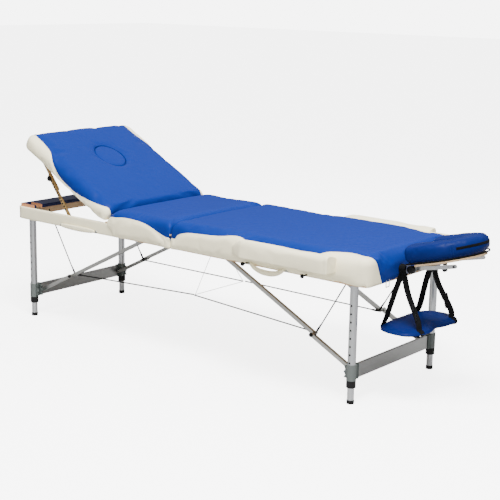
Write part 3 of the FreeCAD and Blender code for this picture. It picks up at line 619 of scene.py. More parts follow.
def seam_width(block, knots, x):
    """Half width of the blue panel at x: a smooth curve through (x, drop) knots."""
    spots = [(k[0] + SEAM, block.across(k[1])) for k in knots]
    if x <= spots[0][0]:
        return spots[0][1]
    for i in range(len(spots) - 1):
        if x <= spots[i + 1][0]:
            (x1, y1), (x2, y2) = spots[i], spots[i + 1]
            x0, y0 = spots[i - 1] if i else (x1 - 1e-3, y1)
            x3, y3 = spots[i + 2] if i + 2 < len(spots) else (x2 + 1e-3, y2)
            span = x2 - x1
            m1 = (y2 - y0) / (x2 - x0) * span
            m2 = (y3 - y1) / (x3 - x1) * span
            t = (x - x1) / span
            return ((2 * t ** 3 - 3 * t ** 2 + 1) * y1 + (t ** 3 - 2 * t ** 2 + t) * m1
                    + (3 * t ** 2 - 2 * t ** 3) * y2 + (t ** 3 - t ** 2) * m2)
    return spots[-1][1]


def pattern_lines(block, spacing):
    """Pattern x positions from one hem to the other, closer together round the ends."""
    low, high = block.core[0], block.core[1]
    steps = max(4, round((high - low) / spacing))
    middle = [low + (high - low) * i / steps for i in range(steps + 1)]
    count = max(8, round(block.reach / (spacing * 0.62)))
    fringe = [block.reach * (i + 1) / count for i in range(count)]
    return [low - f for f in reversed(fringe)] + middle + [high + f for f in fringe]


def cover(name, block, knots, body, replaced, to_rest=Matrix(), hole=None):
    """A blue panel and its cream borders, sewn along a curved seam and blown up softly between the seams."""
    blue_steps, cream_steps = 24, 11
    lines = pattern_lines(block, 0.011)
    width = block.core[2] + block.reach
    points, patterns = [], []
    for x in lines:
        b = seam_width(block, knots, x)
        half = [b * i / blue_steps for i in range(blue_steps + 1)]
        half += [b + (width - b) * (i + 1) / cream_steps for i in range(cream_steps)]
        for y in [-v for v in reversed(half[1:])] + half:
            points.append(block.place(x, y))
            patterns.append((x, y))
    columns = 2 * (blue_steps + cream_steps) + 1
    faces, paints = [], []
    for row in range(len(lines) - 1):
        for col in range(columns - 1):
            first = row * columns + col
            corners = (first, first + 1, first + 1 + columns, first + columns)
            if hole and all(hole.inside(points[c]) for c in corners):
                continue
            faces.append(corners)
            paints.append(0 if cream_steps <= col < columns - 1 - cream_steps else 1)
    seams = [cream_steps, columns - 1 - cream_steps]
    held = [r * columns + c for r in range(len(lines)) for c in seams + [0, columns - 1]]
    held += [r * columns + c for r in (0, len(lines) - 1) for c in range(columns)]
    if hole:
        held += hole.fit(points, faces)
    item = piece(name, [to_rest @ p for p in points], faces, [BLUE, CREAM], body, paints)
    item.data.update()
    normals = [v.normal.copy() for v in item.data.vertices]
    sink_seams(item, normals, len(lines), columns, seams)
    swell(item, held, 0.006)
    stitch_seams(name, item, len(lines), columns, seams, body)
    drop_loose(item)
    subdivided(thickened(item, 0.0018))
    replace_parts(item, replaced)


def sink_seams(item, normals, rows, columns, seams):
    """Draws the sewn line in and lets the vinyl beside it roll up a little."""
    for row in range(rows):
        for seam in seams:
            for step, depth in ((0, -0.0022), (-1, 0.0004), (1, 0.0006)):
                index = row * columns + seam + step
                item.data.vertices[index].co += normals[index] * depth


def stitch_seams(name, item, rows, columns, seams, body):
    """One row of thread on the cream side of each seam."""
    for (side_name, side), seam in zip(SIDES.items(), seams):
        pairs = [(item.data.vertices[r * columns + seam], item.data.vertices[r * columns + seam + side])
                 for r in range(rows)]
        path = [a.co.lerp(b.co, 0.45) + b.normal * 0.0006 for a, b in pairs]
        stitches(f"{name}_stitches_{side_name}", path, [b.normal.copy() for _, b in pairs], body,
                 THREAD_CREAM)


def drop_loose(item):
    """Removes the points that lost all their faces to a hole."""
    mesh = bmesh.new()
    mesh.from_mesh(item.data)
    bmesh.ops.delete(mesh, geom=[v for v in mesh.verts if not v.link_faces], context="VERTS")
    mesh.to_mesh(item.data)
    mesh.free()


class Oval:
    """The oval face hole, measured on the flat backrest."""

    def __init__(self):
        low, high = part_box("face_plug")
        flat = BACK.inverted() @ ((low + high) / 2)
        self.x = flat.x
        self.long = (high.x - low.x - PLUG_DEPTH * math.sin(RECLINE)) / 2 / math.cos(RECLINE) + 0.001
        self.wide = (high.y - low.y) / 2 + 0.001

    def share(self, point):
        return math.hypot((point.x - self.x) / self.long, point.y / self.wide)

    def inside(self, point):
        return self.share(point) < 1.09

    def fit(self, points, faces):
        """Snaps the ragged rim of the cut onto the oval and rolls the vinyl down into it."""
        uses = {}
        for face in faces:
            for i in range(4):
                edge = tuple(sorted((face[i], face[(i + 1) % 4])))
                uses[edge] = uses.get(edge, 0) + 1
        rim = {v for edge, count in uses.items() if count == 1 for v in edge if self.share(points[v]) < 1.5}
        for index, point in enumerate(points):
            share = self.share(point)
            if index in rim:
                scale = 1.05 / share
                point.x = self.x + (point.x - self.x) * scale
                point.y *= scale
                point.z += 0.0005
            elif share < 1.6:
                point.z += 0.0028 * math.exp(-((share - 1.2) / 0.12) ** 2)
        return sorted(rim)


def oval_ring(oval, share, inset, height):
    """One ring of points round the oval, scaled and inset from it, at a flat height."""
    long, wide = oval.long * share - inset, oval.wide * share - inset
    return [BACK @ Vector((oval.x + long * math.cos(a), wide * math.sin(a), height)) for a in round_steps(72)]


def backrest_trim(oval, top):
    """The vinyl lining of the face hole and the soft plug that fills it."""
    steps = [(1.075, -0.0015), (1.055, 0.0012), (1.03, 0.0012), (1.012, -0.001), (1.004, -0.005), (1.0, -0.012),
             (1.0, -0.044)]
    rings = [oval_ring(oval, share, 0, top + rise) for share, rise in steps]
    lining = loft("face_hole_lining", rings, BLUE, "backrest", capped=False)
    subdivided(thickened(lining, 0.0015))
    low = top - PLUG_DEPTH + 0.002
    rings = [oval_ring(oval, share, 0.0012, low + height)
             for share, height in ((0.2, 0), (0.8, 0), (0.955, 0.001), (0.985, 0.004))]
    for inset, drop in ((0.0012, 0.012), (0.0012, 0.006), (0.0018, 0.0028), (0.0035, 0.0006), (0.0065, -0.0008),
                        (0.011, -0.0016), (0.018, -0.0022), (0.03, -0.0028), (0.045, -0.0032), (0.058, -0.0034)):
        rings.append(oval_ring(oval, 1.0, inset, top - drop))
    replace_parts(subdivided(loft("face_plug_cover", rings, BLUE, "plug")), "face_plug")


def pads():
    """The three padded sections; each seam knot is (distance from the centre seam, drop down the side)."""
    skirt_low = RAIL_LOW - 0.001
    seat = Block(SEAM - 0.332, SEAM - SEAM_LINE, HALF + 0.001, PAD_TOP - 0.003, 0.030, 0.026,
                 {"side": skirt_low, "foot": RAIL_TOP + 0.007, "head": skirt_low}, ("head", "foot"), 0.003, 0.72)
    seat_seam = [(-0.40, 0.018), (-0.31, 0.015), (-0.25, 0.005), (-0.166, 0.010), (-0.111, 0.030), (-0.056, 0.051),
                 (-0.015, 0.061), (0.05, 0.061)]
    cover("seat_cover", seat, seat_seam, "half_a", "seat_cushion")
    leg = Block(SEAM + SEAM_LINE, SEAM + HALF_LENGTH + 0.003, HALF + 0.001, PAD_TOP - 0.003, 0.036, 0.028,
                {"side": skirt_low, "foot": skirt_low, "head": skirt_low}, ("foot",), 0.003)
    leg_seam = [(-0.05, 0.060), (0.015, 0.059), (0.05, 0.039), (0.10, 0.024), (0.155, 0.017), (0.256, 0.004),
                (0.336, -0.004), (0.403, 0.010), (0.456, 0.022), (0.69, 0.020), (0.752, -0.023), (0.822, -0.056),
                (0.887, -0.046), (0.93, -0.058), (1.03, -0.105)]
    cover("leg_cover", leg, leg_seam, "half_b", "leg_cushion")
    deck_low = (BACK.inverted() @ HINGE).z + 0.006
    top = deck_low + 0.048
    oval = Oval()
    back = Block(SEAM - 0.943, SEAM - 0.3685, HALF + 0.002, top, 0.046, 0.027,
                 {"side": deck_low - 0.0115, "foot": deck_low - 0.006, "head": deck_low - 0.001}, ("head",), 0.003)
    back_seam = [(-1.04, -0.034), (-0.94, -0.034), (-0.895, -0.037), (-0.852, -0.036), (-0.79, -0.018),
                 (-0.734, 0.020), (-0.678, 0.046), (-0.597, 0.052), (-0.539, 0.045), (-0.449, 0.012),
                 (-0.384, -0.007), (-0.33, -0.004)]
    cover("backrest_cover", back, back_seam, "backrest", "backrest_cushion", BACK, oval)
    backrest_trim(oval, top + 0.003)


# ---- other soft goods

def rail_wrap():
    """Cream vinyl round the open end of the foot frame, from one side of the seat to the other."""
    inner, thick = RAIL_OUT - 0.0135, 0.0175
    low, high, bend = RAIL_LOW - 0.0015, RAIL_TOP + 0.0015, 0.034
    x_end = SEAM - HALF_LENGTH - 0.003
    middle = inner + thick / 2
    path = [Vector((SEAM - 0.29 - i * 0.038, -middle, 0)) for i in range(16)]
    corner = Vector((x_end + thick / 2 + bend, -middle + bend, 0))
    path = [p for p in path if p.x > corner.x]
    for k in range(9):
        a = math.pi / 2 * k / 8
        path.append(corner + Vector((-math.sin(a), -math.cos(a), 0)) * bend)
    path += [Vector((x_end + thick / 2, (-middle + bend) * (1 - k / 12), 0)) for k in range(1, 12)]
    path += [Vector((p.x, -p.y, 0)) for p in reversed(path)]
    rings = []
    for i, point in enumerate(path):
        out = step_ahead(path, i).cross(UP) * -1
        tucked = 0.7 if min(i, len(path) - 1 - i) < 3 else 1.0
        ring = []
        for a in round_steps(24):
            u = squared(math.cos(a), 0.35) * thick / 2 * tucked
            v = squared(math.sin(a), 0.35) * (high - low) / 2
            ring.append(point + out * u + UP * ((high + low) / 2 + v))
        rings.append(ring)
    subdivided(loft("rail_wrap", rings, CREAM, "half_a"))


def armrests():
    """Side rests: a slanted tip, a rolled outer edge, piping at the square end; stations are (distance, size)."""
    for side_name, side in SIDES.items():
        low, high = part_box("armrest_" + side_name)
        inner = min(abs(low.y), abs(high.y))
        deep_full = max(abs(low.y), abs(high.y)) - inner
        tall_full = high.z - low.z
        length = high.x - low.x
        tip = [(0.0, 0.30), (0.0015, 0.62), (0.006, 0.9), (0.014, 1), (0.028, 1), (0.045, 1), (0.06, 1), (0.075, 1),
               (0.09, 1)]
        body = [(0.09 + (length - 0.112) * i / 14, 1) for i in range(1, 15)]
        end = [(length - 0.016, 1), (length - 0.0115, 1.004), (length - 0.0095, 0.988), (length - 0.0075, 1.004),
               (length - 0.004, 1), (length - 0.0012, 0.975), (length, 0.93), (length, 0.6), (length, 0.3)]
        rings = []
        for station, close in tip + body + end:
            spread = min(1.0, (station + 0.004) / 0.079)
            deep = 0.014 + (deep_full - 0.014) * spread
            tall = tall_full * (0.42 + 0.58 * math.sin(min(1.0, station / 0.10) * math.pi / 2))
            rings.append(armrest_ring(low.x + station, side, inner, deep, low.z, tall, close))
        item = loft("armrest_cover_" + side_name, rings, CREAM, "rest_" + side_name)
        count = len(rings[0])
        swell(item, [r * count + k for r in range(len(rings)) for k in range(count)
                     if r < 2 or r >= len(rings) - 8 or k < 8 or k >= 28], 0.002)
        subdivided(item)
        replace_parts(item, "armrest_" + side_name)
        armrest_stitches(side_name, item, count, len(tip), len(tip) + len(body))


def armrest_ring(x, side, inner, deep, floor, tall, close):
    """A cross-section with a flat back, a flat base and a generous round on the outer top edge."""
    small = min(0.005, deep * 0.2)
    bend = min(0.024, deep * 0.42, tall * 0.42)
    corners = [((deep, 0), small, -90), ((deep, tall), bend, 0), ((0, tall), small * 1.5, 90), ((0, 0), small, 180)]
    outline = [(deep * 0.25, 0), (deep * 0.5, 0), (deep * 0.75, 0)]
    for (u, v), radius, start in corners:
        centre = (radius if u == 0 else u - radius, radius if v == 0 else v - radius)
        for step in range(8):
            a = math.radians(start + 90 * step / 7)
            outline.append((centre[0] + radius * math.cos(a), centre[1] + radius * math.sin(a)))
        if u and v == 0:
            outline += [(deep, tall * 0.25), (deep, tall * 0.5)]
        elif u:
            outline += [(deep * 0.66, tall + 0.0008), (deep * 0.45, tall + 0.001), (deep * 0.25, tall + 0.0008)]
        elif v:
            outline += [(0, tall * 0.7), (0, tall * 0.5), (0, tall * 0.3), (0, tall * 0.15)]
    ring = []
    for across, rise in outline:
        rise -= 0.016 * (1 - across / deep) * (rise / tall) ** 3
        across = deep / 2 + (across - deep / 2) * close
        rise = tall / 2 + (rise - tall / 2) * close
        ring.append(Vector((x, side * (inner + across), floor + rise)))
    return ring


def armrest_stitches(side_name, item, count, first, last):
    """Thread along the outer top roll, which is point 19 of each section."""
    line = [item.data.vertices[row * count + 19] for row in range(first, last)]
    stitches(f"armrest_stitches_{side_name}", [v.co + v.normal * 0.0008 for v in line],
             [v.normal.copy() for v in line], "rest_" + side_name, THREAD_CREAM)


def pillow_station(t):
    """Outer and inner edge of the horseshoe at t, from the near tip (0) round to the far tip (1)."""
    straight = 0.16
    if t < straight or t > 1 - straight:
        along = (t if t < straight else 1 - t) / straight
        side = -1 if t < 0.5 else 1
        outer = Vector((0.002 + 0.073 * along, side * 0.150, 0))
        inner = Vector((0.002 + 0.088 * along, side * 0.040, 0))
        return outer, inner
    a = math.pi * (t - straight) / (1 - 2 * straight)
    outer = Vector((0.075 + 0.161 * math.sin(a), -0.150 * math.cos(a), 0))
    inner = Vector((0.090 + 0.038 * math.sin(a), -0.040 * math.cos(a), 0))
    return outer, inner


def pillow_ring(t, grow=1.0, flare=0.0):
    """A rounded-square section between the outer and inner edges; the base is flatter than the crown."""
    outer, inner = pillow_station(t)
    middle, out = (outer + inner) / 2, (outer - inner) / 2
    ring = []
    for a in round_steps(36):
        u = squared(math.cos(a), 0.5) * (1 - 0.04 * max(0, -math.sin(a)))
        v = squared(math.sin(a), 0.62)
        height = (PILLOW_LOW + PILLOW_TOP) / 2 + v * (PILLOW_TOP - PILLOW_LOW) / 2 * grow
        point = middle + out * u * grow + UP * height
        point.x += flare
        ring.append(CRADLE @ point)
    return ring


def headrest():
    """The horseshoe pillow with its side seams, the hook tape round its outer wall and the tape under it."""
    rings = [pillow_ring(0.0, 0.80, -0.004), pillow_ring(0.0, 0.93, -0.0015)]
    rings += [pillow_ring(0.012 + 0.976 * i / 60) for i in range(61)]
    rings += [pillow_ring(1.0, 0.93, -0.0015), pillow_ring(1.0, 0.80, -0.004)]
    item = loft("headrest_cover", rings, DEEP_BLUE, "face_cradle")
    count = len(rings[0])
    seam_rows = [20, 44]
    for row in seam_rows:
        for k in range(count):
            vertex = item.data.vertices[row * count + k]
            vertex.co -= vertex.normal * 0.0018
    held = [r * count + k for r in range(len(rings)) for k in (5, 13)]
    held += [r * count + k for r in seam_rows for k in range(count)]
    held += [r * count + k for r in range(len(rings)) for k in range(20, 35)]
    swell(item, held, 0.003)
    for which, row in zip(SIDES, seam_rows):
        for offset in (-1, 1):
            path, lifts = [], []
            for k in range(-6, 6):
                here = item.data.vertices[row * count + k % count]
                beside = item.data.vertices[(row + offset) * count + k % count]
                path.append(here.co.lerp(beside.co, 0.4) + beside.normal * 0.0009)
                lifts.append(beside.normal.copy())
            stitches(f"pillow_stitches_{which}_{offset + 1}", path, lifts, "face_cradle",
                     THREAD_BLUE, 0.005, 0.0032)
    subdivided(item)
    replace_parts(item, "headrest_pillow")
    pillow_band("pillow_tape", 0.325, 0.675, 0.056, 0.0095, 1.012)
    pillow_band("pillow_base_tape", 0.0, 1.0, PILLOW_LOW + 0.002, 0.006, 0.955)


def pillow_band(name, start, stop, height, tall, grow):
    """A strip of hook tape that follows the pillow's outer wall."""
    path = []
    for i in range(61):
        outer, inner = pillow_station(start + (stop - start) * i / 60)
        middle = (outer + inner) / 2
        path.append(CRADLE @ (middle + (outer - middle) * grow + UP * height))
    rise = CRADLE.to_3x3() @ UP
    ribbon(name, path, lambda t: rise, tall, 0.0022, TAPE, "face_cradle")


def shelf_outline():
    """The arm shelf from above: round ends, a bowed back and a front that dips in the middle."""
    low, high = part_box("arm_shelf")
    middle = (low.x + high.x) / 2
    deep, half = (high.x - low.x) / 2, high.y + SHELF_SWELL
    points = []
    for a in round_steps(96):
        x = squared(math.cos(a), 0.62) * deep
        y = squared(math.sin(a), 0.72) * half
        if x > 0:
            x -= 0.022 * math.exp(-(y / 0.05) ** 2)
        else:
            x += 0.008 * (abs(y) / half) ** 2
        points.append(Vector((middle + x, y, 0)))
    return points, Vector((middle - 0.01, 0, 0))


def arm_shelf():
    """The padded shelf: a soft top and base that meet at a stitched edge."""
    low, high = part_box("arm_shelf")
    outline, centre = shelf_outline()
    mid, half = (low.z + high.z) / 2 - SHELF_SAG, (high.z - low.z) / 2
    profile = [(0.06, 1.02), (0.25, 1.02), (0.45, 1.01), (0.62, 0.98), (0.76, 0.92), (0.87, 0.8), (0.94, 0.6),
               (0.98, 0.34), (1.0, 0.05)]
    shape = profile + [(1.0, -0.08)] + [(s, -h * 0.9) for s, h in reversed(profile[:-1])]
    rings = [[centre + (p - centre) * share + UP * (mid + height * half) for p in outline]
             for share, height in shape]
    item = loft("arm_shelf_cover", rings, DEEP_BLUE, "arm_sling")
    count = len(outline)
    swell(item, range((len(profile) - 1) * count, len(shape) * count), 0.003)
    round_trip = outline + outline[:1]
    path = [centre + (p - centre) * 0.955 + UP * (mid + 0.56 * half) for p in round_trip]
    stitches("shelf_stitches", path, [UP] * len(path), "arm_sling", THREAD_BLUE)
    piping = [p + UP * mid for p in round_trip]
    tube("shelf_piping", piping, 0.0022, DEEP_BLUE, "arm_sling", 10)
    subdivided(item)
    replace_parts(item, "arm_shelf")


def shelf_edge(y, sign):
    """Where the shelf's front (1) or back (-1) edge is at y."""
    outline, centre = shelf_outline()
    return min((p for p in outline if (p.x - centre.x) * sign > 0), key=lambda p: abs(p.y - y)).x


def strap_turn(side):
    """A strap leaves the rod face on to the side and turns square to the shelf's edge."""
    if side == FAR:
        return lambda t: Vector((0.95 - 0.85 * t, 0.1 + 0.9 * t, 0))
    return lambda t: Vector((0.75 * (1 - min(1, t * 1.15)), 0.66 + 0.34 * min(1, t * 1.15), 0))


# Each strap: its shelf edge (1 front, -1 back), how far it leans out and drops from the rod, then its knots as
# (inset from the edge, height over the shelf's top, middle or base).
STRAP_RUNS = {
    "back": (-1, 0.024, 0.06, [(0.016, "top", 0.028), (0.004, "top", -0.001), (-0.0015, "middle", 0),
                               (0.006, "base", 0.002), (0.04, "base", -0.0015)]),
    "front": (1, 0.028, 0.07, [(0.022, "top", 0.034), (0.013, "top", 0.0015), (0.0045, "top", -0.003),
                               (-0.0015, "middle", 0), (0.006, "base", 0.002), (0.04, "base", -0.0015)]),
}


def sling_straps():
    """A loop round each rod, a back strap and a front strap that wrap the shelf, and two slide buckles a side."""
    pivot = Vector(joint("arm_sling_swing")["pos_m"])
    low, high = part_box("arm_shelf")
    levels = {"top": high.z - SHELF_SAG, "base": low.z - SHELF_SAG}
    levels["middle"] = (levels["top"] + levels["base"]) / 2
    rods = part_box("headrest_rods")
    for side_name, side in SIDES.items():
        y = side * STRAP_Y
        top = Vector((pivot.x, side * ROD_Y, pivot.z - 0.004))
        for kind, (sign, lean, drop, spots) in STRAP_RUNS.items():
            edge = shelf_edge(y, sign)
            knots = [top + Vector((0.004 * sign, 0, 0)), top + Vector((lean * sign, side * 0.004, -drop))]
            knots += [Vector((edge - sign * inset, y, levels[level] + over)) for inset, level, over in spots]
            strap = ribbon(f"{kind}_strap_{side_name}", curve_through(knots), strap_turn(side), STRAP_WIDTH,
                           STRAP_DEPTH, STRAP, "arm_sling")
            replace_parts(strap, "shelf_straps")
        tail = Vector((shelf_edge(y, 1) - 0.018, y, levels["top"] + 0.006))
        for which, share in (("upper", 0.62), ("lower", 0.80)):
            buckle(f"strap_buckle_{which}_{side_name}", top.lerp(tail, share) + Vector((0.004, 0, 0.002)), side)
        strap_loop(side_name, side, (rods[0].z + rods[1].z) / 2 - 0.005, pivot)


def strap_loop(side_name, side, rod_z, pivot):
    """Two turns of webbing round the rod, pulled down into the point where the straps start."""
    for turn, size in enumerate((0.0110, 0.0145)):
        path = []
        for k in range(41):
            a = math.pi * 1.5 + 2 * math.pi * k / 40
            drop = max(0.0, -math.sin(a)) ** 3 * 0.010
            path.append(Vector((pivot.x + (turn - 0.5) * 0.004, side * ROD_Y + math.cos(a) * size,
                                rod_z + 0.0035 + math.sin(a) * size - drop)))
        ribbon(f"strap_loop_{side_name}_{turn}", path, lambda t: Vector((1, 0, 0)), 0.026, 0.0024, STRAP,
               "headrest_base")


def buckle(name, centre, side):
    """A moulded three-bar slide."""
    points, faces = [], []
    axis_x = Vector((0.35, side * 0.9, 0)).normalized()
    axis_z = Vector((0.25, 0.1 * side, -0.95)).normalized()
    axis_y = axis_z.cross(axis_x)
    bars = [(0, -0.009, 0.013, 0.002), (0, 0, 0.013, 0.0018), (0, 0.009, 0.013, 0.002), (-0.0125, 0, 0.002, 0.0105),
            (0.0125, 0, 0.002, 0.0105)]
    for u, v, half_u, half_v in bars:
        base = len(points)
        for corner in range(8):
            a = u + (half_u if corner & 1 else -half_u)
            b = v + (half_v if corner & 2 else -half_v)
            c = 0.0024 if corner & 4 else -0.0024
            points.append(centre + axis_x * a + axis_z * b + axis_y * c)
        faces += [tuple(base + i for i in quad) for quad in
                  ((0, 1, 3, 2), (4, 6, 7, 5), (0, 4, 5, 1), (2, 3, 7, 6), (0, 2, 6, 4), (1, 5, 7, 3))]
    item = piece(name, points, faces, [BLACK], "arm_sling", smooth=False)
    bevel = item.modifiers.new("edges", "BEVEL")
    bevel.width, bevel.segments = 0.0008, 3
    bevel.limit_method, bevel.angle_limit = "ANGLE", math.radians(40)


SCREW_HEAD = [(-0.0004, 0.0045), (0.0006, 0.0045), (0.0016, 0.00387), (0.0022, 0.002475), (0.0022, 0.00189),
              (0.0012, 0.00099), (0.001, 0.000225)]


def handles():
    """Carrying handles: a padded vinyl grip that hangs between two screwed ends."""
    for letter in "ab":
        low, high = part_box("handle_" + letter)
        middle, half = (low.x + high.x) / 2, (high.x - low.x) / 2
        y = (low.y + high.y) / 2 - 0.001
        sag = high.z - low.z - 0.012
        spots = [-1 + 2 * i / 40 for i in range(41)]
        line = [Vector((middle + t * half, y, high.z - 0.006 - sag * (1 - abs(t) ** 2.4))) for t in spots]
        rings = []
        for t, point in zip(spots, line):
            plump = 0.45 + 0.55 * math.cos(t * math.pi / 2) ** 0.4
            wide, tall = 0.0052 * plump, 0.0112 * plump
            rings.append([point + Vector((0, math.cos(a) * wide, squared(math.sin(a), 0.8) * tall))
                          for a in round_steps(20)])
        body = "carry_handle_" + letter
        item = loft("handle_cover_" + letter, rings, CREAM, body)
        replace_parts(subdivided(item), "handle_" + letter)
        for row, lift in (("upper", 0.0062), ("lower", -0.0062)):
            path = [p + Vector((0, -0.0045, lift)) for p in line[4:-4]]
            stitches(f"handle_stitches_{row}_{letter}", path, [Vector((0, -1, 0))] * len(path), body,
                     THREAD_CREAM)
        for end, x in (("left", middle - half - 0.007), ("right", middle + half + 0.007)):
            turned(f"handle_screw_{letter}_{end}", SCREW_HEAD, Vector((x, -RAIL_OUT - 0.0035, high.z - 0.006)),
                   (0, -1, 0), ZINC, "half_" + letter, 24)


# ---- knobs, ferrules and small trim

def prop_knobs():
    """Lobed clamp knobs on the backrest props."""
    low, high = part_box("prop_knobs")
    centre_x, centre_z = (low.x + high.x) / 2, (low.z + high.z) / 2
    start = high.y - 0.0125
    for side_name, side in SIDES.items():
        profile = [(-0.0005, 0.006), (0, 0.0085), (0.002, 0.0105), (0.0045, 0.0112), (0.0075, 0.0112), (0.010, 0.0102),
                   (0.0117, 0.0078), (0.0124, 0.004)]
        knob = turned("prop_knob_" + side_name, profile, Vector((centre_x, side * start, centre_z)), (0, side, 0),
                      BLACK, "prop_clamps", 60, (6, 0.09))
        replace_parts(subdivided(knob), "prop_knobs")


def prop_hole_shadows():
    """Black discs of painted shade in the setting holes of the lower prop strips."""
    knob_low, knob_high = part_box("prop_knobs")
    foot = Vector(joint("prop_lower_swing")["pos_m"])
    knob = Vector(((knob_low.x + knob_high.x) / 2, 0, (knob_low.z + knob_high.z) / 2))
    ahead = (knob - foot).normalized()
    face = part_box("prop_lower")[1].y
    rim = [(-0.0006, 0.0036), (0.0002, 0.0043), (0.0007, 0.0040), (0.0007, 0.0032), (-0.0002, 0.0026), (-0.0004, 0.001)]
    for side_name, side in SIDES.items():
        centres = [knob - ahead * PROP_HOLE_PITCH * step + Vector((0, side * face, 0)) for step in range(1, 12)]
        # painted shade: black discs inside the setting holes stand for the shade in them
        discs("prop_hole_shadows_" + side_name, centres, rim, (0, side, 0), "prop_low")


def stouter_cables():
    """Thickens the straight cable runs of the frame to the look of a braid."""
    for letter in "ab":
        for kind in ("long", "short"):
            braid = frame["nodes"][f"cable_{kind}_{letter}"].modifiers.new("braid", "DISPLACE")
            braid.strength, braid.mid_level = 0.0011, 0.0


def ferrules():
    """Black sleeves where the cables end at the knees."""
    for letter in "ab":
        for kind, body, inset in (("long", "cable_run_", 0.0466), ("short", "cable_stay_", 0.0015)):
            low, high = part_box(f"cable_{kind}_{letter}")
            for side_name, side in SIDES.items():
                outer = high.y - 0.0016
                knee_x = low.x if (letter == "a") == (kind == "long") else high.x
                other_x = high.x if knee_x == low.x else low.x
                knee = Vector((knee_x, side * outer, low.z + 0.0014))
                ahead = (Vector((other_x, side * (high.y - inset), high.z)) - knee).normalized()
                sleeve = [(0.0, 0.0026), (0.001, 0.0042), (0.026, 0.0042), (0.034, 0.0030), (0.046, 0.0025),
                          (0.047, 0.0017)]
                turned(f"ferrule_{kind}_{letter}_{side_name}", sleeve, knee - ahead * 0.002, ahead, BLACK,
                       body + letter, 16)


def knee_bolts():
    """The black bolt heads that show at each knee of the braces."""
    for letter in "ab":
        knee = Vector(joint("cable_long_turn_" + letter)["pos_m"])
        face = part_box("brace_lower_" + letter)[1].y
        head = [(-0.0003, 0.0062), (0, 0.0078), (0.0030, 0.0078), (0.0046, 0.0066), (0.0052, 0.0035)]
        for side_name, side in SIDES.items():
            start = Vector((knee.x, side * face, knee.z))
            turned(f"knee_bolt_{letter}_{side_name}", head, start, (0, side, 0), BLACK, "brace_low_" + letter,
                   24)


def cradle_trim():
    """End bolts of the cradle arms and the cap of the round cam knob."""
    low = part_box("cam_levers")[0]
    cap = [(-0.0005, 0.0135), (0.0012, 0.0145), (0.0045, 0.0146), (0.007, 0.0125), (0.0082, 0.008), (0.0084, 0.003)]
    start = Vector((PIVOT.x, low.y + 0.0052, PIVOT.z))
    turned("cam_knob_cap", cap, start, (0, -1, 0), BLACK, "tilt_cam", 60, (18, 0.02))
    head = [(-0.0003, 0.0046), (0.0012, 0.0046), (0.002, 0.0038), (0.0022, 0.0024), (0.0008, 0.002)]
    for side_name, side in SIDES.items():
        centre = ARMS @ Vector((0.164, side * 0.1058, 0))
        turned("cradle_bolt_" + side_name, head, centre, (0, side, 0), DARK_STEEL, "face_cradle", 6)


def leg_details():
    """Ribs round the feet, black discs of painted shade in the height holes of the legs, and the caps of the spring
    buttons.
    """
    rib = [(-0.0011, -0.0002), (-0.0005, 0.0007), (0.0005, 0.0007), (0.0011, -0.0002)]
    hole_shadow_disc = [(-0.0008, 0.0036), (0.0004, 0.0039), (0.0008, 0.0034), (0.0004, 0.0012)]
    cap = [(-0.001, 0.0033), (0.0048, 0.0033), (0.0058, 0.0028), (0.0063, 0.0014)]
    for letter in "ab":
        for side_name, side in SIDES.items():
            low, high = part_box(f"foot_{side_name}_{letter}")
            x, y = (low.x + high.x) / 2, (low.y + high.y) / 2
            radius = (high.x - low.x) / 2
            for i, height in enumerate((0.003, 0.0068, 0.0106)):
                ring = [(height + along, radius + out) for along, out in rib]
                turned(f"foot_rib_{side_name}_{letter}_{i}", ring, Vector((x, y, low.z)), (0, 0, 1), RUBBER,
                       f"leg_{side_name}_{letter}", 32)
            # painted shade: a black disc inside each open height hole stands for the shade in it
            heights = [HOLE_TOP - HOLE_PITCH * step for step in range(HOLES) if step != BUTTON_HOLE]
            centres = [Vector((x, y + side * 0.0132, z)) for z in heights]
            discs(f"leg_hole_shadows_{side_name}_{letter}", centres, hole_shadow_disc, (0, side, 0), "leg_set_" + letter)
            button = Vector((x, y + side * 0.012, HOLE_TOP - HOLE_PITCH * BUTTON_HOLE))
            turned(f"button_cap_{side_name}_{letter}", cap, button, (0, side, 0), BLACK,
                   f"button_{side_name}_{letter}", 20)


# ---- stage, light and camera

def stage_plane():
    size = 30
    mesh = bpy.data.meshes.new("floor")
    mesh.from_pydata([(-size, -size, 0), (size, -size, 0), (size, size, 0), (-size, size, 0)], [], [(0, 1, 2, 3)])
    floor = bpy.data.objects.new("floor", mesh)
    bpy.context.scene.collection.objects.link(floor)
    paint = Paint("pale_floor", (0.95, 0.95, 0.95), 0.6)
    seen = paint.node("ShaderNodeMath", operation="MULTIPLY")
    seen.inputs[1].default_value = FLOOR_GLOW
    paint.link(paint.node("ShaderNodeLightPath").outputs["Is Camera Ray"], seen.inputs[0])
    paint.link(seen.outputs[0], paint.shader.inputs["Emission Strength"])
    paint.coloured(seen.inputs[0].links[0].from_socket, (0.42, 0.42, 0.42), (0.95, 0.95, 0.95))
    paint.shader.inputs["Emission Color"].default_value = (1, 1, 1, 1)
    floor.data.materials.append(paint.material)
    floor.location.z = -0.0006


def area_light(name, place, target, size, power, mirrored=True):
    lamp = bpy.data.lights.new(name, "AREA")
    lamp.energy, lamp.size = power, size
    made = bpy.data.objects.new(name, lamp)
    made.location = place
    made.rotation_euler = (Vector(target) - Vector(place)).to_track_quat("-Z", "Y").to_euler()
    made.visible_glossy = mirrored
    bpy.context.scene.collection.objects.link(made)


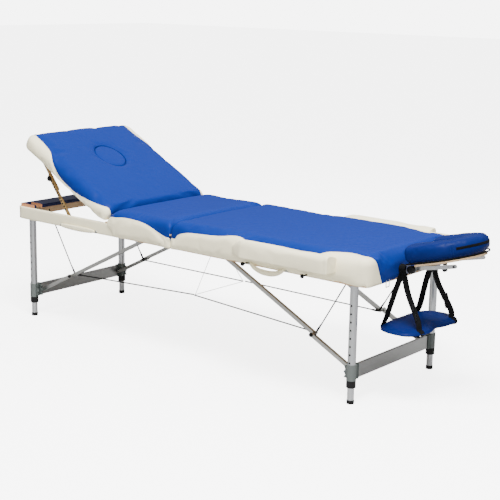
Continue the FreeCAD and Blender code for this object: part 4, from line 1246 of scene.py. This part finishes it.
def lights():
    """A white studio whose light falls off towards the horizon, so that metals keep some contrast."""
    world = bpy.data.worlds.new("studio")
    bpy.context.scene.world = world
    world.use_nodes = True
    nodes, links = world.node_tree.nodes, world.node_tree.links
    split = nodes.new("ShaderNodeSeparateXYZ")
    links.new(nodes.new("ShaderNodeTexCoord").outputs["Generated"], split.inputs[0])
    shade = nodes.new("ShaderNodeMapRange")
    for key, number in (("From Min", 0.15), ("From Max", 0.9), ("To Min", 0.10), ("To Max", 1.7)):
        shade.inputs[key].default_value = number
    links.new(split.outputs["Z"], shade.inputs["Value"])
    choose = nodes.new("ShaderNodeMix")
    links.new(nodes.new("ShaderNodeLightPath").outputs["Is Camera Ray"], choose.inputs[0])
    links.new(shade.outputs["Result"], choose.inputs[2])
    choose.inputs[3].default_value = CAMERA_WHITE
    background = nodes["Background"]
    background.inputs["Color"].default_value = (1, 1, 1, 1)
    links.new(choose.outputs[0], background.inputs["Strength"])
    area_light("key", (1.3, -1.3, 4.2), (0, 0, 0.4), 1.6, 430)
    area_light("fill", (2.6, -3.6, 1.6), (0, 0, 0.4), 2.2, 55)
    area_light("back", (-0.5, 3.4, 2.8), (0, 0, 0.5), 3.0, 70, False)


def camera():
    """The photographer's view, measured from the seam."""
    place = Vector((3.1192 + SEAM, -3.6145, 1.4479))
    yaw, pitch, roll = -0.6863, 0.2185, 0.0178
    focal_px, frame_px, sensor = 1186.284, 500, 36
    ahead = Vector((math.sin(yaw) * math.cos(pitch), math.cos(yaw) * math.cos(pitch), -math.sin(pitch)))
    right = Vector((math.cos(yaw), -math.sin(yaw), 0))
    rise = right.cross(ahead)
    tilted_right = right * math.cos(roll) + rise * math.sin(roll)
    tilted_up = rise * math.cos(roll) - right * math.sin(roll)
    data = bpy.data.cameras.new("view")
    data.sensor_width = sensor
    data.lens = focal_px * sensor / frame_px
    made = bpy.data.objects.new("view", data)
    axes = Matrix((tilted_right, tilted_up, -ahead)).transposed().to_4x4()
    made.matrix_world = Matrix.Translation(place) @ axes
    bpy.context.scene.collection.objects.link(made)
    bpy.context.scene.camera = made


paint_cad_nodes()
pads()
rail_wrap()
armrests()
headrest()
arm_shelf()
sling_straps()
handles()
prop_knobs()
prop_hole_shadows()
stouter_cables()
ferrules()
knee_bolts()
cradle_trim()
leg_details()
stage_plane()
lights()
camera()
